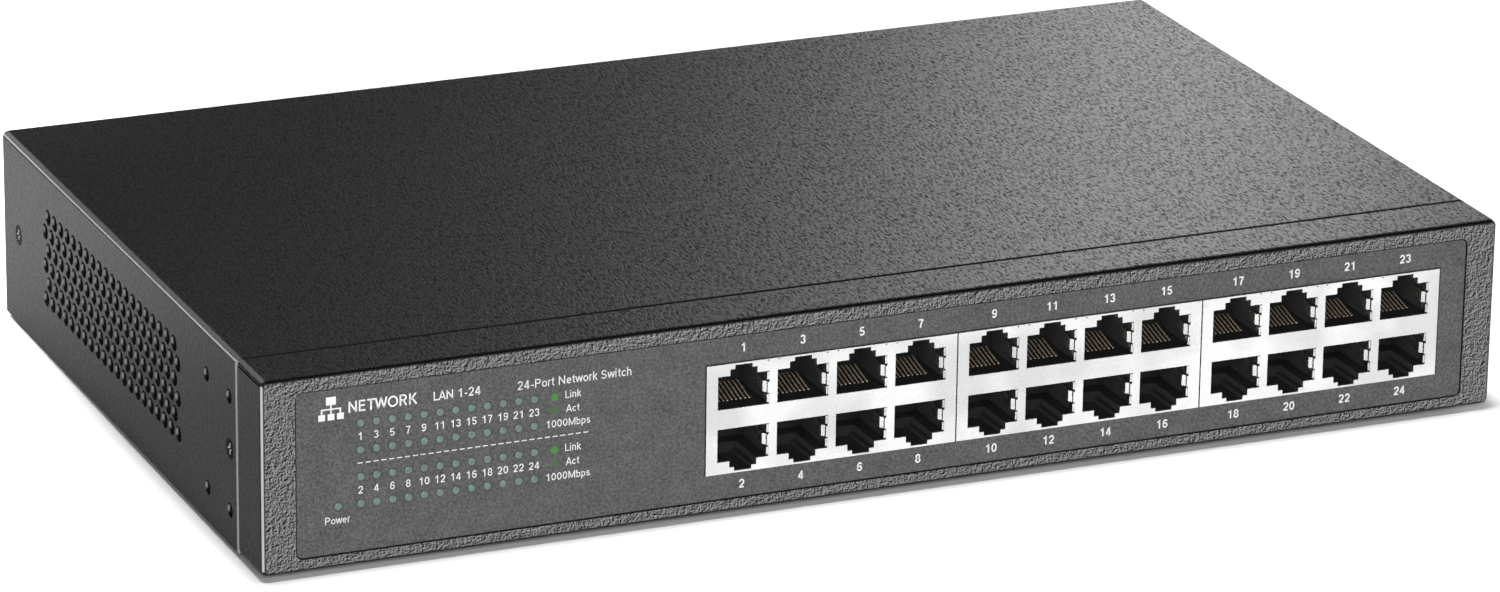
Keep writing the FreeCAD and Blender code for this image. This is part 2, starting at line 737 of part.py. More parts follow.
def make_jack_housing(label, centre):
    """The moulded block with eight plug cavities and a well for the contact wires in each."""
    body = doc.addObject("PartDesign::Body", label)
    finish(body, label, centre)
    skin, gap = size["shield_metal"], 0.05
    face = front + skin * 2 + gap
    back = block_back - skin - gap
    half = block_half - skin - gap
    add_pad(body, "Moulding", "XZ", face, back,
            [rectangle(-half, size["block_low"], half, size["block_high"] - skin - gap)])
    cavity_back = front + size["port_depth"]
    first = size["port_pitch"] * -1.5
    well_half, well_deep = size["wire_pitch"] * 3.5 + 0.8, 0.95
    # The shield's side lining stands in a shallow step of every right-hand wall.
    edge = first + size["port_width"] / 2
    cavity_outlines, well_outlines, step_outlines = [], [], []
    for side in (1, -1):
        low, high = outward(side, size["port_floor"], size["port_ceiling"])
        cavity_outlines.append(rectangle(first - size["port_width"] / 2, low, edge, high))
        step_outlines.append(rectangle(edge - 0.2, low, edge + 0.5, high))
        low, high = outward(side, size["port_floor"] - well_deep, size["port_floor"] + 0.5)
        well_outlines.append(rectangle(first - well_half, low, first + well_half, high))
    cavities = add_pocket(body, "Cavities", "XZ", face, cavity_back, cavity_outlines)
    latches = add_pocket(body, "LatchChannels", "XZ", face, front + size["latch_depth"],
                         [latch_outline(1), latch_outline(-1)])
    wells = add_pocket(body, "Wells", "XZ", root_y - 0.5, cavity_back, well_outlines)
    steps = add_pocket(body, "LiningSteps", "XZ", face, face + 0.35, step_outlines)
    repeat(body, "CavityRow", [cavities, latches, wells, steps], "X", size["port_pitch"], ports_in_row)


def make_port_contacts(number):
    """Eight gold wires that lean up into a port and are pressed down together by a plug."""
    label = f"contacts_port_{number:02d}"
    body = doc.addObject("PartDesign::Body", label)
    body.AllowCompound = True
    body.Label = label
    column, upper = (number - 1) // 2, number % 2 == 1
    block_index, place = column // ports_in_row, column % ports_in_row
    across = (size["block_centre"] + size["block_pitch"] * (block_index - 1)
              + size["port_pitch"] * (place - 1.5))
    side = 1 if upper else -1
    if not upper:
        body.Placement.Rotation = FreeCAD.Rotation(FreeCAD.Vector(0, 1, 0), 180)
    bind(body, "Placement.Base.x", across)
    bind(body, "Placement.Base.y", root_y)
    bind(body, "Placement.Base.z",
         size["foot_drop"] + block_middle + (size["port_floor"] - root_drop) * side)
    subparts.append(body)
    slope = math.radians(DIMENSIONS["wire_slope"])
    run, rise = math.cos(slope), math.sin(slope)
    length, thick = size["wire_length"], size["wire_thickness"] / 2
    bend = length - 1.2
    outline = [(thick * rise, -thick * run), (bend * run + thick * rise, bend * rise - thick * run),
               (length * run, bend * rise - thick * run - 0.25),
               (length * run, bend * rise + thick * run - 0.25),
               (bend * run - thick * rise, bend * rise + thick * run), (-thick * rise, thick * run)]
    first = size["wire_pitch"] * -3.5 - size["wire_width"] / 2
    finger = add_pad(body, "Wire", "YZ", first, first + size["wire_width"], [outline])
    root = add_pad(body, "Root", "YZ", first, first + size["wire_width"], circles=[(0, 0, root_radius * 2)])
    repeat(body, "Wires", [finger, root], "X", size["wire_pitch"], 8)


# ---------------------------------------------------------------- circuit boards

board_screws_at = [(-136.0, -70.0), (-136.0, 2.0), (136.8, -48.0), (136.8, 2.0), (-53.0, -70.0), (0.0, 2.0)]
supply_screw_rows = size["supply_front"] + size["screw_inset"], size["supply_back"] - size["screw_inset"]
supply_screw_columns = size["supply_left"] + size["screw_inset"], size["supply_right"] - size["screw_inset"]
supply_screws_at = [(x, y) for y in supply_screw_rows for x in supply_screw_columns]


def make_boards():
    board = new_body("main_board")
    add_pad(board, "Board", "XY", size["board_height"], board_top,
            [rectangle(size["board_left"], size["board_front"], size["board_right"], size["board_back"])])
    add_pocket(board, "ScrewHoles", "XY", size["board_height"], board_top,
               circles=[(x, y, size["screw_size"] + 0.3) for x, y in board_screws_at])
    supply = new_body("power_board")
    add_pad(supply, "Board", "XY", size["board_height"], board_top,
            [rectangle(size["supply_left"], size["supply_front"], size["supply_right"],
                       size["supply_back"])])
    add_pocket(supply, "ScrewHoles", "XY", size["board_height"], board_top,
               circles=[(x, y, size["screw_size"] + 0.3) for x, y in supply_screws_at])


def make_board_fixings():
    standoffs, screws = [], []
    for number, (x, y) in enumerate(board_screws_at + supply_screws_at):
        post = doc.addObject("Part::Prism", f"Post{number}")
        post.Polygon = 6
        bind(post, "Circumradius", size["screw_size"] - 0.1)
        bind(post, "Height", size["board_height"] - metal)
        bind(post, "Placement.Base.x", x)
        bind(post, "Placement.Base.y", y)
        bind(post, "Placement.Base.z", metal)
        bore = rod(f"PostBore{number}", (x, y, metal), size["screw_size"] - 0.2, size["board_height"])
        standoffs.append(cut(f"Standoff{number}", post, bore))
        shank_low = size["board_height"] - 4.0
        shank = rod(f"Shank{number}", (x, y, shank_low), size["screw_size"] - 0.25, board_top - shank_low)
        head = rod(f"Head{number}", (x, y, board_top), size["screw_size"] * 1.8, 1.7)
        blank = fuse(f"ScrewBlank{number}", [shank, head])
        recess = [block(f"Recess{way}{number}", (x - a, y - b, board_top + 0.8),
                        (x + a, y + b, board_top + 1.8))
                  for way, a, b in (("Wide", 1.4, 0.3), ("Tall", 0.3, 1.4))]
        cross = fuse(f"Cross{number}", recess)
        screws.append(cut(f"Screw{number}", blank, cross))
    group("board_standoffs", standoffs)
    group("board_screws", screws)


def chip(name, x, y, side, thickness):
    half = side / 2
    return block(name, (x - half, y - half, board_top), (x + half, y + half, board_top + thickness))


def heatsink(name, x, y, side, bottom, fins):
    """A square plate with straight fins along Y."""
    half, pitch = side / 2, side / (fins - 0.5)
    plate_top, fin_top = bottom + size["sink_plate"], bottom + size["sink_tall"]
    pieces = [block(f"{name}Plate", (x - half, y - half, bottom), (x + half, y + half, plate_top))]
    for number in range(fins):
        left = x - half + pitch * number
        pieces.append(block(f"{name}Fin{number}", (left, y - half, plate_top - 0.5),
                            (left + pitch / 2, y + half, fin_top)))
    return fuse(name, pieces)


phy_centres = [size["block_centre"] + size["block_pitch"] * step for step in (-1, 0, 1)]


def make_board_parts():
    make_chips()
    make_lan_transformers()
    small_can, large_can = 6.3, 8.0
    cans = [(-118.0, -40.0, large_can), (-106.0, -40.0, large_can), (-118.0, -20.0, large_can),
            (-106.0, -20.0, large_can), (-28.0, -2.0, small_can), (-20.0, -2.0, small_can)]
    group("board_capacitors", [rod(f"Can{number}", (x, y, board_top), diameter, size["can_tall"])
                               for number, (x, y, diameter) in enumerate(cans)])
    coils_across, coils_back = -92.0, (-38.0, -20.0, -4.0)
    group("power_inductors", [chip(f"Coil{number}", coils_across, y, size["coil_size"], size["coil_tall"])
                              for number, y in enumerate(coils_back)])


def make_chips():
    """The switch chip and one physical-layer chip behind each jack block, each under a heatsink."""
    x, y = size["switch_chip_across"], size["switch_chip_back"]
    group("switch_chip", [chip("SwitchPackage", x, y, size["switch_chip_size"], size["switch_chip_tall"])])
    sink_bottom = board_top + size["switch_chip_tall"]
    group("switch_heatsink", [heatsink("SwitchSink", x, y, size["switch_sink_size"], sink_bottom, 9)])
    y = size["phy_chip_back"]
    group("phy_chips", [chip(f"PhyPackage{number}", x, y, size["phy_chip_size"], size["phy_chip_tall"])
                        for number, x in enumerate(phy_centres)])
    sink_bottom = board_top + size["phy_chip_tall"]
    group("phy_heatsinks", [heatsink(f"PhySink{number}", x, y, size["phy_sink_size"], sink_bottom, 6)
                            for number, x in enumerate(phy_centres)])


def make_lan_transformers():
    """One for every pair of jacks, straight behind them."""
    half, top = size["magnetics_width"] / 2, board_top + size["magnetics_tall"]
    transformers = []
    for number, centre in enumerate(phy_centres):
        for place in range(ports_in_row):
            x = centre + size["port_pitch"] * (place - 1.5)
            low_corner = (x - half, size["magnetics_front"], board_top)
            high_corner = (x + half, size["magnetics_back"], top)
            transformers.append(block(f"Magnetics{number}{place}", low_corner, high_corner))
    group("lan_transformers", transformers)


# ---------------------------------------------------------------- power supply


def make_power_supply():
    core_top = board_top + size["core_tall"]
    core = [block("CoreFront", (40.0, 44.0, board_top), (64.0, 50.0, core_top)),
            block("CoreBack", (40.0, 60.0, board_top), (64.0, 66.0, core_top)),
            block("Bobbin", (42.0, 46.0, board_top), (62.0, 64.0, core_top - 4.0))]
    group("power_transformer", [fuse("TransformerCore", core)])
    group("bulk_capacitor",
          [rod("BulkCan", (78.0, 62.0, board_top), size["bulk_can_size"], size["bulk_can_tall"])])
    make_supply_heatsinks()
    make_mains_filter()


def make_supply_heatsinks():
    """Two upright plates, each with its top edge folded over."""
    sink_top = board_top + size["supply_sink_tall"]
    sinks = []
    for number, (x, y) in enumerate(((34.0, 40.0), (70.0, 28.0))):
        back = y + size["supply_sink_long"]
        plate = block(f"SinkPlate{number}", (x - 1.0, y, board_top), (x + 1.0, back, sink_top))
        fold = block(f"SinkFold{number}", (x - 6.0, y, sink_top - 3.0), (x, back, sink_top))
        sinks.append(fuse(f"Sink{number}", [plate, fold]))
    group("power_heatsinks", sinks)


def make_mains_filter():
    """A ring choke that stands on a small base."""
    radius, y = size["choke_size"] / 2, size["choke_front"]
    across, middle = size["supply_right"] - radius - 4.0, board_top + radius + 0.5
    thickness = size["choke_thickness"]
    outer = rod("ChokeOuter", (across, y, middle), size["choke_size"], thickness, "Y")
    bore = rod("ChokeBore", (across, y - 1.0, middle), size["choke_bore"], thickness + 2.0, "Y")
    ring = cut("ChokeRing", outer, bore)
    base = block("ChokeBase", (across - radius, y - 1.0, board_top),
                 (across + radius, y + thickness + 1.0, board_top + 1.2))
    group("mains_filter", [fuse("Choke", [ring, base])])


def make_inlet():
    """A C14 mains inlet, held from inside with its face level with the rear panel."""
    centre, height = size["inlet_centre"], size["inlet_height"]
    half, tall = size["inlet_width"] / 2 - 0.1, size["inlet_tall"] / 2 - 0.1
    mouth_half, mouth_tall, cut_corner = 12.1, 8.2, 4.0
    rear, mouth_end = half_depth - size["inlet_depth"], half_depth - size["inlet_mouth_depth"]
    body = new_body("ac_inlet")
    add_pad(body, "Shell", "XZ", rear, half_depth,
            [rectangle(centre - half, height - tall, centre + half, height + tall)])
    add_pad(body, "Flange", "XZ", half_depth - metal - 2.0, half_depth - metal,
            [rectangle(centre - half - 2.0, height - tall - 2.0, centre + half + 2.0, height + tall + 2.0)])
    add_pocket(body, "Mouth", "XZ", mouth_end, half_depth, [[
        (centre - mouth_half, height - mouth_tall), (centre + mouth_half, height - mouth_tall),
        (centre + mouth_half, height + mouth_tall - cut_corner),
        (centre + mouth_half - cut_corner, height + mouth_tall),
        (centre - mouth_half + cut_corner, height + mouth_tall),
        (centre - mouth_half, height + mouth_tall - cut_corner)]])
    blade_places = [(-7.0, -2.0), (0.0, 2.0), (7.0, -2.0)]
    slots = [rectangle(centre + x - 1.0, height + z - 2.0, centre + x + 1.0, height + z + 2.0)
             for x, z in blade_places]
    add_pocket(body, "BladeSlots", "XZ", rear, mouth_end, slots)
    blades = new_body("inlet_blades")
    add_pad(blades, "Blades", "XZ", rear - 6.0, half_depth - 3.0, slots)


def make_wires():
    make_mains_wires()
    make_ground_wire()
    make_dc_harness()


inlet_x, inlet_z = size["inlet_centre"].value, size["inlet_height"].value
wire_start = (half_depth - size["inlet_depth"] - 6.0).value - 0.1


def make_mains_wires():
    """Live and neutral, from the inlet's blades to a terminal block on the supply board."""
    size_ = size["mains_wire_size"].value
    blade_z = inlet_z - 2.0
    end_x, end_z = size["supply_right"].value - 2.0, board_top.value + 6.0
    live = [(inlet_x - 7.0, wire_start, blade_z), (inlet_x - 7.0, wire_start - 7.0, blade_z),
            (inlet_x - 10.0, 42.0, 18.0), (end_x + 5.0, 37.0, end_z), (end_x, 37.0, end_z)]
    neutral = [(inlet_x + 7.0, wire_start, blade_z), (inlet_x + 7.0, wire_start - 12.0, blade_z),
               (inlet_x - 2.0, 34.0, 17.0), (end_x + 6.0, 32.5, end_z), (end_x, 32.5, end_z)]
    corner = FreeCAD.Vector(end_x - 8.0, size["terminal_front"].value, board_top.value)
    terminals = Part.makeBox(8.0, 12.0, size["terminal_tall"].value, corner)
    shape_node("mains_wires", [bent_cable(live, size_), bent_cable(neutral, size_), terminals])


def make_ground_wire():
    """From the inlet's middle blade up and over to the ground screw."""
    blade_z = inlet_z + 2.0
    ground_x, ground_z = ground_at[0].value, ground_at[1].value
    ground_end = (half_depth - size["ground_seat_depth"]).value - 7.1
    route = [(inlet_x, wire_start, blade_z), (inlet_x, wire_start - 6.0, blade_z + 0.5),
             (inlet_x - 9.0, wire_start - 7.5, blade_z + 3.0),
             (inlet_x - 17.0, wire_start - 1.0, blade_z + 1.0), (inlet_x - 23.0, 68.0, 20.0),
             (ground_x, 75.0, ground_z), (ground_x, ground_end, ground_z)]
    shape_node("ground_wire", [bent_cable(route, size["ground_wire_size"].value)])


def make_dc_harness():
    """Four wires from a header on the supply board to a plug on the main board."""
    floor, pitch = board_top.value, size["dc_wire_pitch"].value
    header_x, header_y, header_top = 18.9, 48.0, floor + 5.0
    plug_x, plug_y, plug_top = -9.8, -0.5, floor + 5.6
    header = Part.makeBox(6.0, 12.0, 5.0, FreeCAD.Vector(header_x - 3.0, header_y - 6.0, floor))
    plug = Part.makeBox(12.0, 6.0, 5.6, FreeCAD.Vector(plug_x - 6.0, plug_y - 3.0, floor))
    solids = [header, plug]
    for step in (-1.5, -0.5, 0.5, 1.5):
        start_y, end_x, crest = header_y + pitch * step, plug_x - pitch * step, 18.0
        route = [(header_x, start_y, header_top), (header_x, start_y, crest), (end_x, start_y, crest),
                 (end_x, plug_y, crest), (end_x, plug_y, plug_top)]
        solids.append(bent_cable(route, size["dc_wire_size"].value))
    shape_node("dc_harness", solids)


def shape_node(label, solids):
    """A sub-part whose solids follow free routes."""
    feature = doc.addObject("Part::Feature", label)
    feature.Shape = Part.makeCompound(solids)
    finish(feature, label)


# ---------------------------------------------------------------- fasteners and feet


def make_fixings():
    screws = []
    for side in (-1, 1):
        for place in ("front", "back"):
            y, z = size[f"cover_screw_{place}"], size["cover_screw_height"]
            screws.append(cover_screw(f"Cover{'Left' if side < 0 else 'Right'}{place.title()}", side, y, z))
    group("cover_screws", screws)
    x, z = ground_at
    seat_face = half_depth - size["ground_seat_depth"]
    shank = rod("GroundShank", (x, seat_face - 7.0, z), size["screw_size"] - 0.1, 7.0, "Y")
    nut = rod("GroundNut", (x, seat_face - metal - 3.0, z), 5.6, 3.0, "Y")
    head = rod("GroundHead", (x, seat_face, z), 6.0, 2.0, "Y")
    bars = [block(f"GroundCross{way}", (x - a, half_depth - 1.4, z - b), (x + a, half_depth, z + b))
            for way, a, b in (("Wide", 1.6, 0.35), ("Tall", 0.35, 1.6))]
    group("ground_screw",
          [cut("GroundScrew", fuse("GroundBlank", [shank, nut, head]), fuse("GroundCross", bars))])
    reach_x, reach_y = half_width - size["foot_inset"], half_depth - size["foot_inset"]
    feet = []
    for number, (way_x, way_y) in enumerate(((-1, -1), (1, -1), (-1, 1), (1, 1))):
        place = (reach_x * way_x, reach_y * way_y, -size["foot_drop"])
        feet.append(rod(f"Foot{number}", place, size["foot_size"], size["foot_drop"] + size["foot_seat"]))
    group("rubber_feet", feet)


def cover_screw(name, side, y, z):
    """A countersunk screw that lies level with the side of the cover."""
    outer = half_width - 0.02 if side > 0 else -half_width + 0.02
    head = doc.addObject("Part::Cone", f"{name}Head")
    head.Placement.Rotation = FreeCAD.Rotation(FreeCAD.Vector(0, 1, 0), -90 * side)
    for key, level in zip("xyz", (outer, y, z)):
        bind(head, f"Placement.Base.{key}", level)
    neck = size["cover_screw_size"] / 2 - 0.1
    bind(head, "Radius1", neck + metal - 0.1)
    bind(head, "Radius2", neck)
    bind(head, "Height", metal - 0.1)
    length = 5.0
    start = outer - length if side > 0 else outer
    shank = rod(f"{name}Shank", (start, y, z), neck * 2, length, "X")
    blank = fuse(f"{name}Blank", [head, shank])
    low_x, high_x = (outer - 0.9, outer + 0.2) if side > 0 else (outer - 0.2, outer + 0.9)
    bars = [block(f"{name}{way}", (low_x, y - a, z - b), (high_x, y + a, z + b))
            for way, a, b in (("Wide", 1.3, 0.3), ("Tall", 0.3, 1.3))]
    return cut(name, blank, fuse(f"{name}Cross", bars))


# ---------------------------------------------------------------- build and write


def make_all():
    make_base_chassis()
    make_top_cover()
    make_front_overlay()
    make_lights()
    for letter, centre in zip("abc", phy_centres):
        make_jack_shield(f"jack_shield_{letter}", centre)
        make_jack_housing(f"jack_housing_{letter}", centre)
    for number in range(1, 25):
        make_port_contacts(number)
    make_boards()
    make_board_fixings()
    make_board_parts()
    make_power_supply()
    make_inlet()
    make_wires()
    make_fixings()
    doc.recompute()


def check_and_write():
    failed = [item.Name for item in doc.Objects if {"Invalid", "Error"} & set(item.State)]
    if failed:
        raise RuntimeError(f"failed objects: {failed}")
    for item in subparts:
        if item.Shape.isNull() or not item.Shape.isValid():
            raise RuntimeError(f"{item.Label} has no valid shape")
        print(f"{item.Label}: {len(item.Shape.Solids)} solids, {item.Shape.Volume:.1f} mm3")
    for item in subparts:
        item.Shape.exportStep(f"parts/{item.Label}.step")


make_all()
check_and_write()
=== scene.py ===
import json
import math

import bmesh
import bpy
from mathutils import Matrix, Vector


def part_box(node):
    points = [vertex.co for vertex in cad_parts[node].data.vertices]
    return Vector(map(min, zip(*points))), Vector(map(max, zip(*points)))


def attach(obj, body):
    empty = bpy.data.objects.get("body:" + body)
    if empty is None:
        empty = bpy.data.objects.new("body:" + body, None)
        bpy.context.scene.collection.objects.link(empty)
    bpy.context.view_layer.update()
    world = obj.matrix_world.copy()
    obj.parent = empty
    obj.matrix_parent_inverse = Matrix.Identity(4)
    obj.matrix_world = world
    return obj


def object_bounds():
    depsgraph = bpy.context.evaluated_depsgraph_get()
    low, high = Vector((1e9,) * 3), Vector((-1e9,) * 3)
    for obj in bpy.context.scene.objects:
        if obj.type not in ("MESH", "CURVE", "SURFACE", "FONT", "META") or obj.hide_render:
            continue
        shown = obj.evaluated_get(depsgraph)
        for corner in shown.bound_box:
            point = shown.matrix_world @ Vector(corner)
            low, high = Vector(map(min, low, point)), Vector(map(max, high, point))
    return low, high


# Looks for the network switch: printing, fine detail, procedural materials, floor, light and camera.
# All lengths are metres. X runs right as seen from the front, Y to the back and Z up.

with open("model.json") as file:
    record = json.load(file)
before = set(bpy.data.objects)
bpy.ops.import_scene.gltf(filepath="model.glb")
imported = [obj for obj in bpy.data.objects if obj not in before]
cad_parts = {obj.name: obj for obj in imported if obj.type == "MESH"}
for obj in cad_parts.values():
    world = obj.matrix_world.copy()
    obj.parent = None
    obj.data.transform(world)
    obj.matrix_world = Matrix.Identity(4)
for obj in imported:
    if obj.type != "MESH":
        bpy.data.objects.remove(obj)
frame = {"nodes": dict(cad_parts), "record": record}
cad_low, cad_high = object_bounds()
ROOT = "switch"
MM = 0.001
PORTS = [f"{number:02d}" for number in range(1, 25)]

# ---------------------------------------------------------------- node helpers


class Paint:
    """A material under construction: its node tree, its shader and the object's own coordinates."""

    def __init__(self, name, colour, roughness, metallic=0.0):
        self.material = bpy.data.materials.new(name)
        self.material.use_nodes = True
        self.nodes = self.material.node_tree.nodes
        self.links = self.material.node_tree.links
        self.shader = self.nodes["Principled BSDF"]
        self.colour = colour
        self.set("Base Color", (*colour, 1.0))
        self.set("Roughness", roughness)
        self.set("Metallic", metallic)
        self.place = self.add("ShaderNodeTexCoord").outputs["Object"]

    def set(self, socket, value):
        self.shader.inputs[socket].default_value = value

    def add(self, kind, sockets=None, **settings):
        node = self.nodes.new(kind)
        for key, value in settings.items():
            setattr(node, key, value)
        for key, value in (sockets or {}).items():
            if isinstance(value, bpy.types.NodeSocket):
                self.links.new(value, node.inputs[key])
            else:
                node.inputs[key].default_value = value
        return node

    def join(self, socket, output):
        self.links.new(output, self.shader.inputs[socket])

    def noise(self, size, detail=2.0, roughness=0.5, distortion=0.0, place=None):
        """Soft noise whose features are about one size across."""
        node = self.add("ShaderNodeTexNoise", {
            "Vector": place or self.place, "Scale": 1.0 / size, "Detail": detail, "Roughness": roughness,
            "Distortion": distortion})
        return node.outputs["Fac"]

    def spread(self, value, low, high, to_low=0.0, to_high=1.0):
        node = self.add("ShaderNodeMapRange", {
            "Value": value, "From Min": low, "From Max": high, "To Min": to_low, "To Max": to_high})
        return node.outputs["Result"]

    def flipped(self, value):
        """1 where the value is 0, and 0 where it is 1."""
        return self.spread(value, 0.0, 1.0, 1.0, 0.0)

    def sum(self, first, second, operation="ADD"):
        return self.add("ShaderNodeMath", {0: first, 1: second}, operation=operation).outputs[0]

    def product(self, first, second):
        return self.sum(first, second, "MULTIPLY")

    def difference(self, first, second):
        return self.sum(first, second, "SUBTRACT")

    def distance(self, value):
        """How far a value is from nought, on either side."""
        return self.sum(value, 0.0, "ABSOLUTE")

    def mix(self, amount, first, second):
        """One colour turning into another."""
        node = self.add("ShaderNodeMix", data_type="RGBA")
        for index, value in ((0, amount), (6, first), (7, second)):
            if isinstance(value, bpy.types.NodeSocket):
                self.links.new(value, node.inputs[index])
            else:
                node.inputs[index].default_value = value
        return node.outputs[2]

    def shade(self, share):
        """The material's own colour, made darker or lighter."""
        return (*(min(1.0, channel * share) for channel in self.colour), 1.0)

    def shaded(self, amount, dark, light):
        """A colour between two shares of the material's own."""
        return self.mix(amount, self.shade(dark), self.shade(light))

    def tint(self, amount, dark, light):
        self.join("Base Color", self.shaded(amount, dark, light))

    def bump(self, height, distance):
        node = self.add("ShaderNodeBump", {"Height": height, "Distance": distance, "Strength": 1.0})
        self.join("Normal", node.outputs["Normal"])

    def along(self, axis):
        """The place on the object along X, Y or Z."""
        return self.add("ShaderNodeSeparateXYZ", {"Vector": self.place}).outputs[axis]

    def facing(self, direction, low, high):
        """1 where the surface faces a direction of the object, 0 elsewhere."""
        normal = self.add("ShaderNodeNewGeometry").outputs["Normal"]
        node = self.add("ShaderNodeVectorMath", {0: normal, 1: direction}, operation="DOT_PRODUCT")
        return self.spread(node.outputs["Value"], low, high)


def grey(shade):
    return (shade, shade, shade, 1.0)


# ---------------------------------------------------------------- materials


cover_low, cover_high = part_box("top_cover")
overlay_low, overlay_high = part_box("front_overlay")
# The cover's tongue reaches this far under the front fold, ahead of the seam between cover and base.
TONGUE = 8.0 * MM
SEAM = cover_low.y + TONGUE

UP = (0.0, 0.0, 1.0)
LEFT = (-1.0, 0.0, 0.0)
FORWARDS = (0.0, -1.0, 0.0)
LONG_BEND_BAND = (-0.5, 0.0, 0.866)
LONG_BEND_LINE = (-0.87, 0.0, 0.49)
FRONT_BEND = (0.0, -0.6, 0.8)
FRONT_CORNER = (-0.8, -0.6, 0.0)

GRAIN = 0.44 * MM
GRAIN_DEPTH = 0.08 * MM
FOLD = 0.85 * MM
FOLD_DEPTH = 0.4 * MM
# The folds are shaded by their slope across this step, as if lit from the upper left.
FOLD_STEP = (0.26 * MM, 0.0, -0.24 * MM)
COAT_ROUGHNESS = 0.35
# Pale greys of the painted highlights on the case's cut edges.
RIM_HIGHLIGHT = grey(0.33)
EDGE_HIGHLIGHT = grey(0.34)


def fine_grain(paint):
    """The pebbled surface of a powder coat, which breaks the sheen into small specks."""
    sprayed = paint.add("ShaderNodeMapping", {"Vector": paint.place, "Scale": (1.0, 0.3, 1.0)}).outputs[0]
    grain = paint.noise(GRAIN, 2.0, 0.55, 0.4, sprayed)
    return grain, paint.spread(grain, 0.4, 0.6)


def speckled_sheen(paint, specks, upward):
    """Sheen on the grain's high spots, weak on the upright sides and gone at the seam's edges."""
    level_up = paint.spread(specks, 0.0, 1.0, 0.02, 0.76)
    upright = paint.spread(specks, 0.0, 1.0, 0.018, 0.03)
    from_seam = paint.distance(paint.sum(paint.along("Y"), -SEAM))
    beside_seam = paint.spread(from_seam, 0.5 * MM, 0.9 * MM)
    top = paint.product(paint.product(level_up, upward), beside_seam)
    return paint.sum(top, paint.product(upright, paint.flipped(upward)))


def bend_glow(paint, plain, line_shade):
    """Painted light on the long side bends: a line of one given shade, with a softer, paler painted highlight
    band above it.
    """
    band = paint.facing(LONG_BEND_BAND, 0.88, 0.97)
    line = paint.facing(LONG_BEND_LINE, 0.982, 0.997)
    banded = paint.mix(band, plain, (0.1, 0.1, 0.101, 1.0))
    return paint.mix(line, banded, grey(line_shade))


def cut_edges(paint, coat):
    """Painted highlights on the case's sides: a pale rim on the cut edges that face forwards, and a pale line
    along the cover's front edge.
    """
    forward = paint.facing(FORWARDS, 0.86, 0.99)
    outward = paint.distance(paint.along("X"))
    rim = paint.spread(outward, cad_high.x - 0.65 * MM, cad_high.x - 0.4 * MM)
    holes = paint.mix(paint.product(forward, rim), coat, RIM_HIGHLIGHT)
    sideways = paint.spread(outward, cad_high.x - 0.5 * MM, cad_high.x - 0.1 * MM)
    front_end = paint.spread(paint.along("Y"), SEAM + 0.8 * MM, SEAM + 1.3 * MM, 1.0, 0.0)
    return paint.mix(paint.product(sideways, front_end), holes, EDGE_HIGHLIGHT)


def powder_coat(name, colour):
    """Textured powder coat on the cover."""
    paint = Paint(name, colour, COAT_ROUGHNESS)
    grain, specks = fine_grain(paint)
    # Painted highlight line and band on the cover's long bends.
    coat = bend_glow(paint, paint.shaded(specks, 0.97, 1.03), 0.42)
    # Painted highlights on the forward-facing cut edges.
    paint.join("Base Color", cut_edges(paint, coat))
    upward = paint.facing(UP, 0.3, 0.8)
    paint.set("Specular IOR Level", 0.1)
    paint.join("Specular IOR Level", speckled_sheen(paint, specks, upward))
    paint.bump(grain, GRAIN_DEPTH)
    return paint


def leather_folds(paint):
    """The height of the base's coarse wrinkle, and its colour: painted shade, dark, on one flank of each fold
    and a painted highlight, pale, on the other.
    """
    folds = paint.noise(FOLD, 3.0, 0.6, 1.4)
    beside = paint.add("ShaderNodeMapping", {"Vector": paint.place, "Location": FOLD_STEP}).outputs[0]
    slope = paint.difference(folds, paint.noise(FOLD, 3.0, 0.6, 1.4, beside))
    shaded_flank, lit_flank = (0.012, 0.012, 0.0122, 1.0), (0.29, 0.29, 0.293, 1.0)
    return folds, paint.mix(paint.spread(slope, -0.11, 0.12), shaded_flank, lit_flank)


def wrinkle_coat(name, colour):
    """The same coat on the base, with a leather-like wrinkle, and a paler tone on the front face from the
    painted light and shade of its folds.
    """
    paint = Paint(name, colour, COAT_ROUGHNESS)
    grain, specks = fine_grain(paint)
    ahead = paint.facing(FORWARDS, 0.8, 0.95)
    proud = paint.spread(paint.along("Y"), overlay_low.y - 0.1 * MM, overlay_low.y + 0.1 * MM, 1.0, 0.0)
    front_face = paint.product(ahead, proud)
    folds, fold_light_and_shade = leather_folds(paint)
    # A painted shade line and a painted highlight band on the base's long bends.
    smooth = bend_glow(paint, paint.shaded(specks, 0.9, 1.1), 0.002)
    coat = paint.mix(front_face, smooth, fold_light_and_shade)
    # Painted shade: a dark line along the front bend, where the sheen is also taken away.
    front_bend = paint.facing(FRONT_BEND, 0.972, 0.988)
    coat = paint.mix(front_bend, coat, grey(0.004))
    # Painted highlight: a pale line down the front corner bend.
    corner = paint.facing(FRONT_CORNER, 0.955, 0.99)
    paint.join("Base Color", paint.mix(corner, coat, grey(0.5)))
    sheen = speckled_sheen(paint, specks, paint.facing(UP, 0.3, 0.8))
    paint.set("Specular IOR Level", 0.15)
    paint.join("Specular IOR Level", paint.product(sheen, paint.flipped(front_bend)))
    paint.bump(paint.sum(paint.product(folds, front_face), paint.product(grain, 0.2)), FOLD_DEPTH)
    return paint


def matt_film(name, colour):
    """Printed polyester film with a fine matt tooth."""
    paint = Paint(name, colour, 0.6)
    paint.set("Specular IOR Level", 0.3)
    tooth = paint.noise(0.55 * MM, 2.0)
    cloud = paint.noise(6 * MM, 2.0)
    speckle = paint.sum(paint.spread(tooth, 0.3, 0.7, 0.0, 0.8), paint.spread(cloud, 0.3, 0.7, 0.0, 0.2))
    paint.tint(speckle, 0.42, 1.55)
    paint.bump(tooth, 0.03 * MM)
    return paint


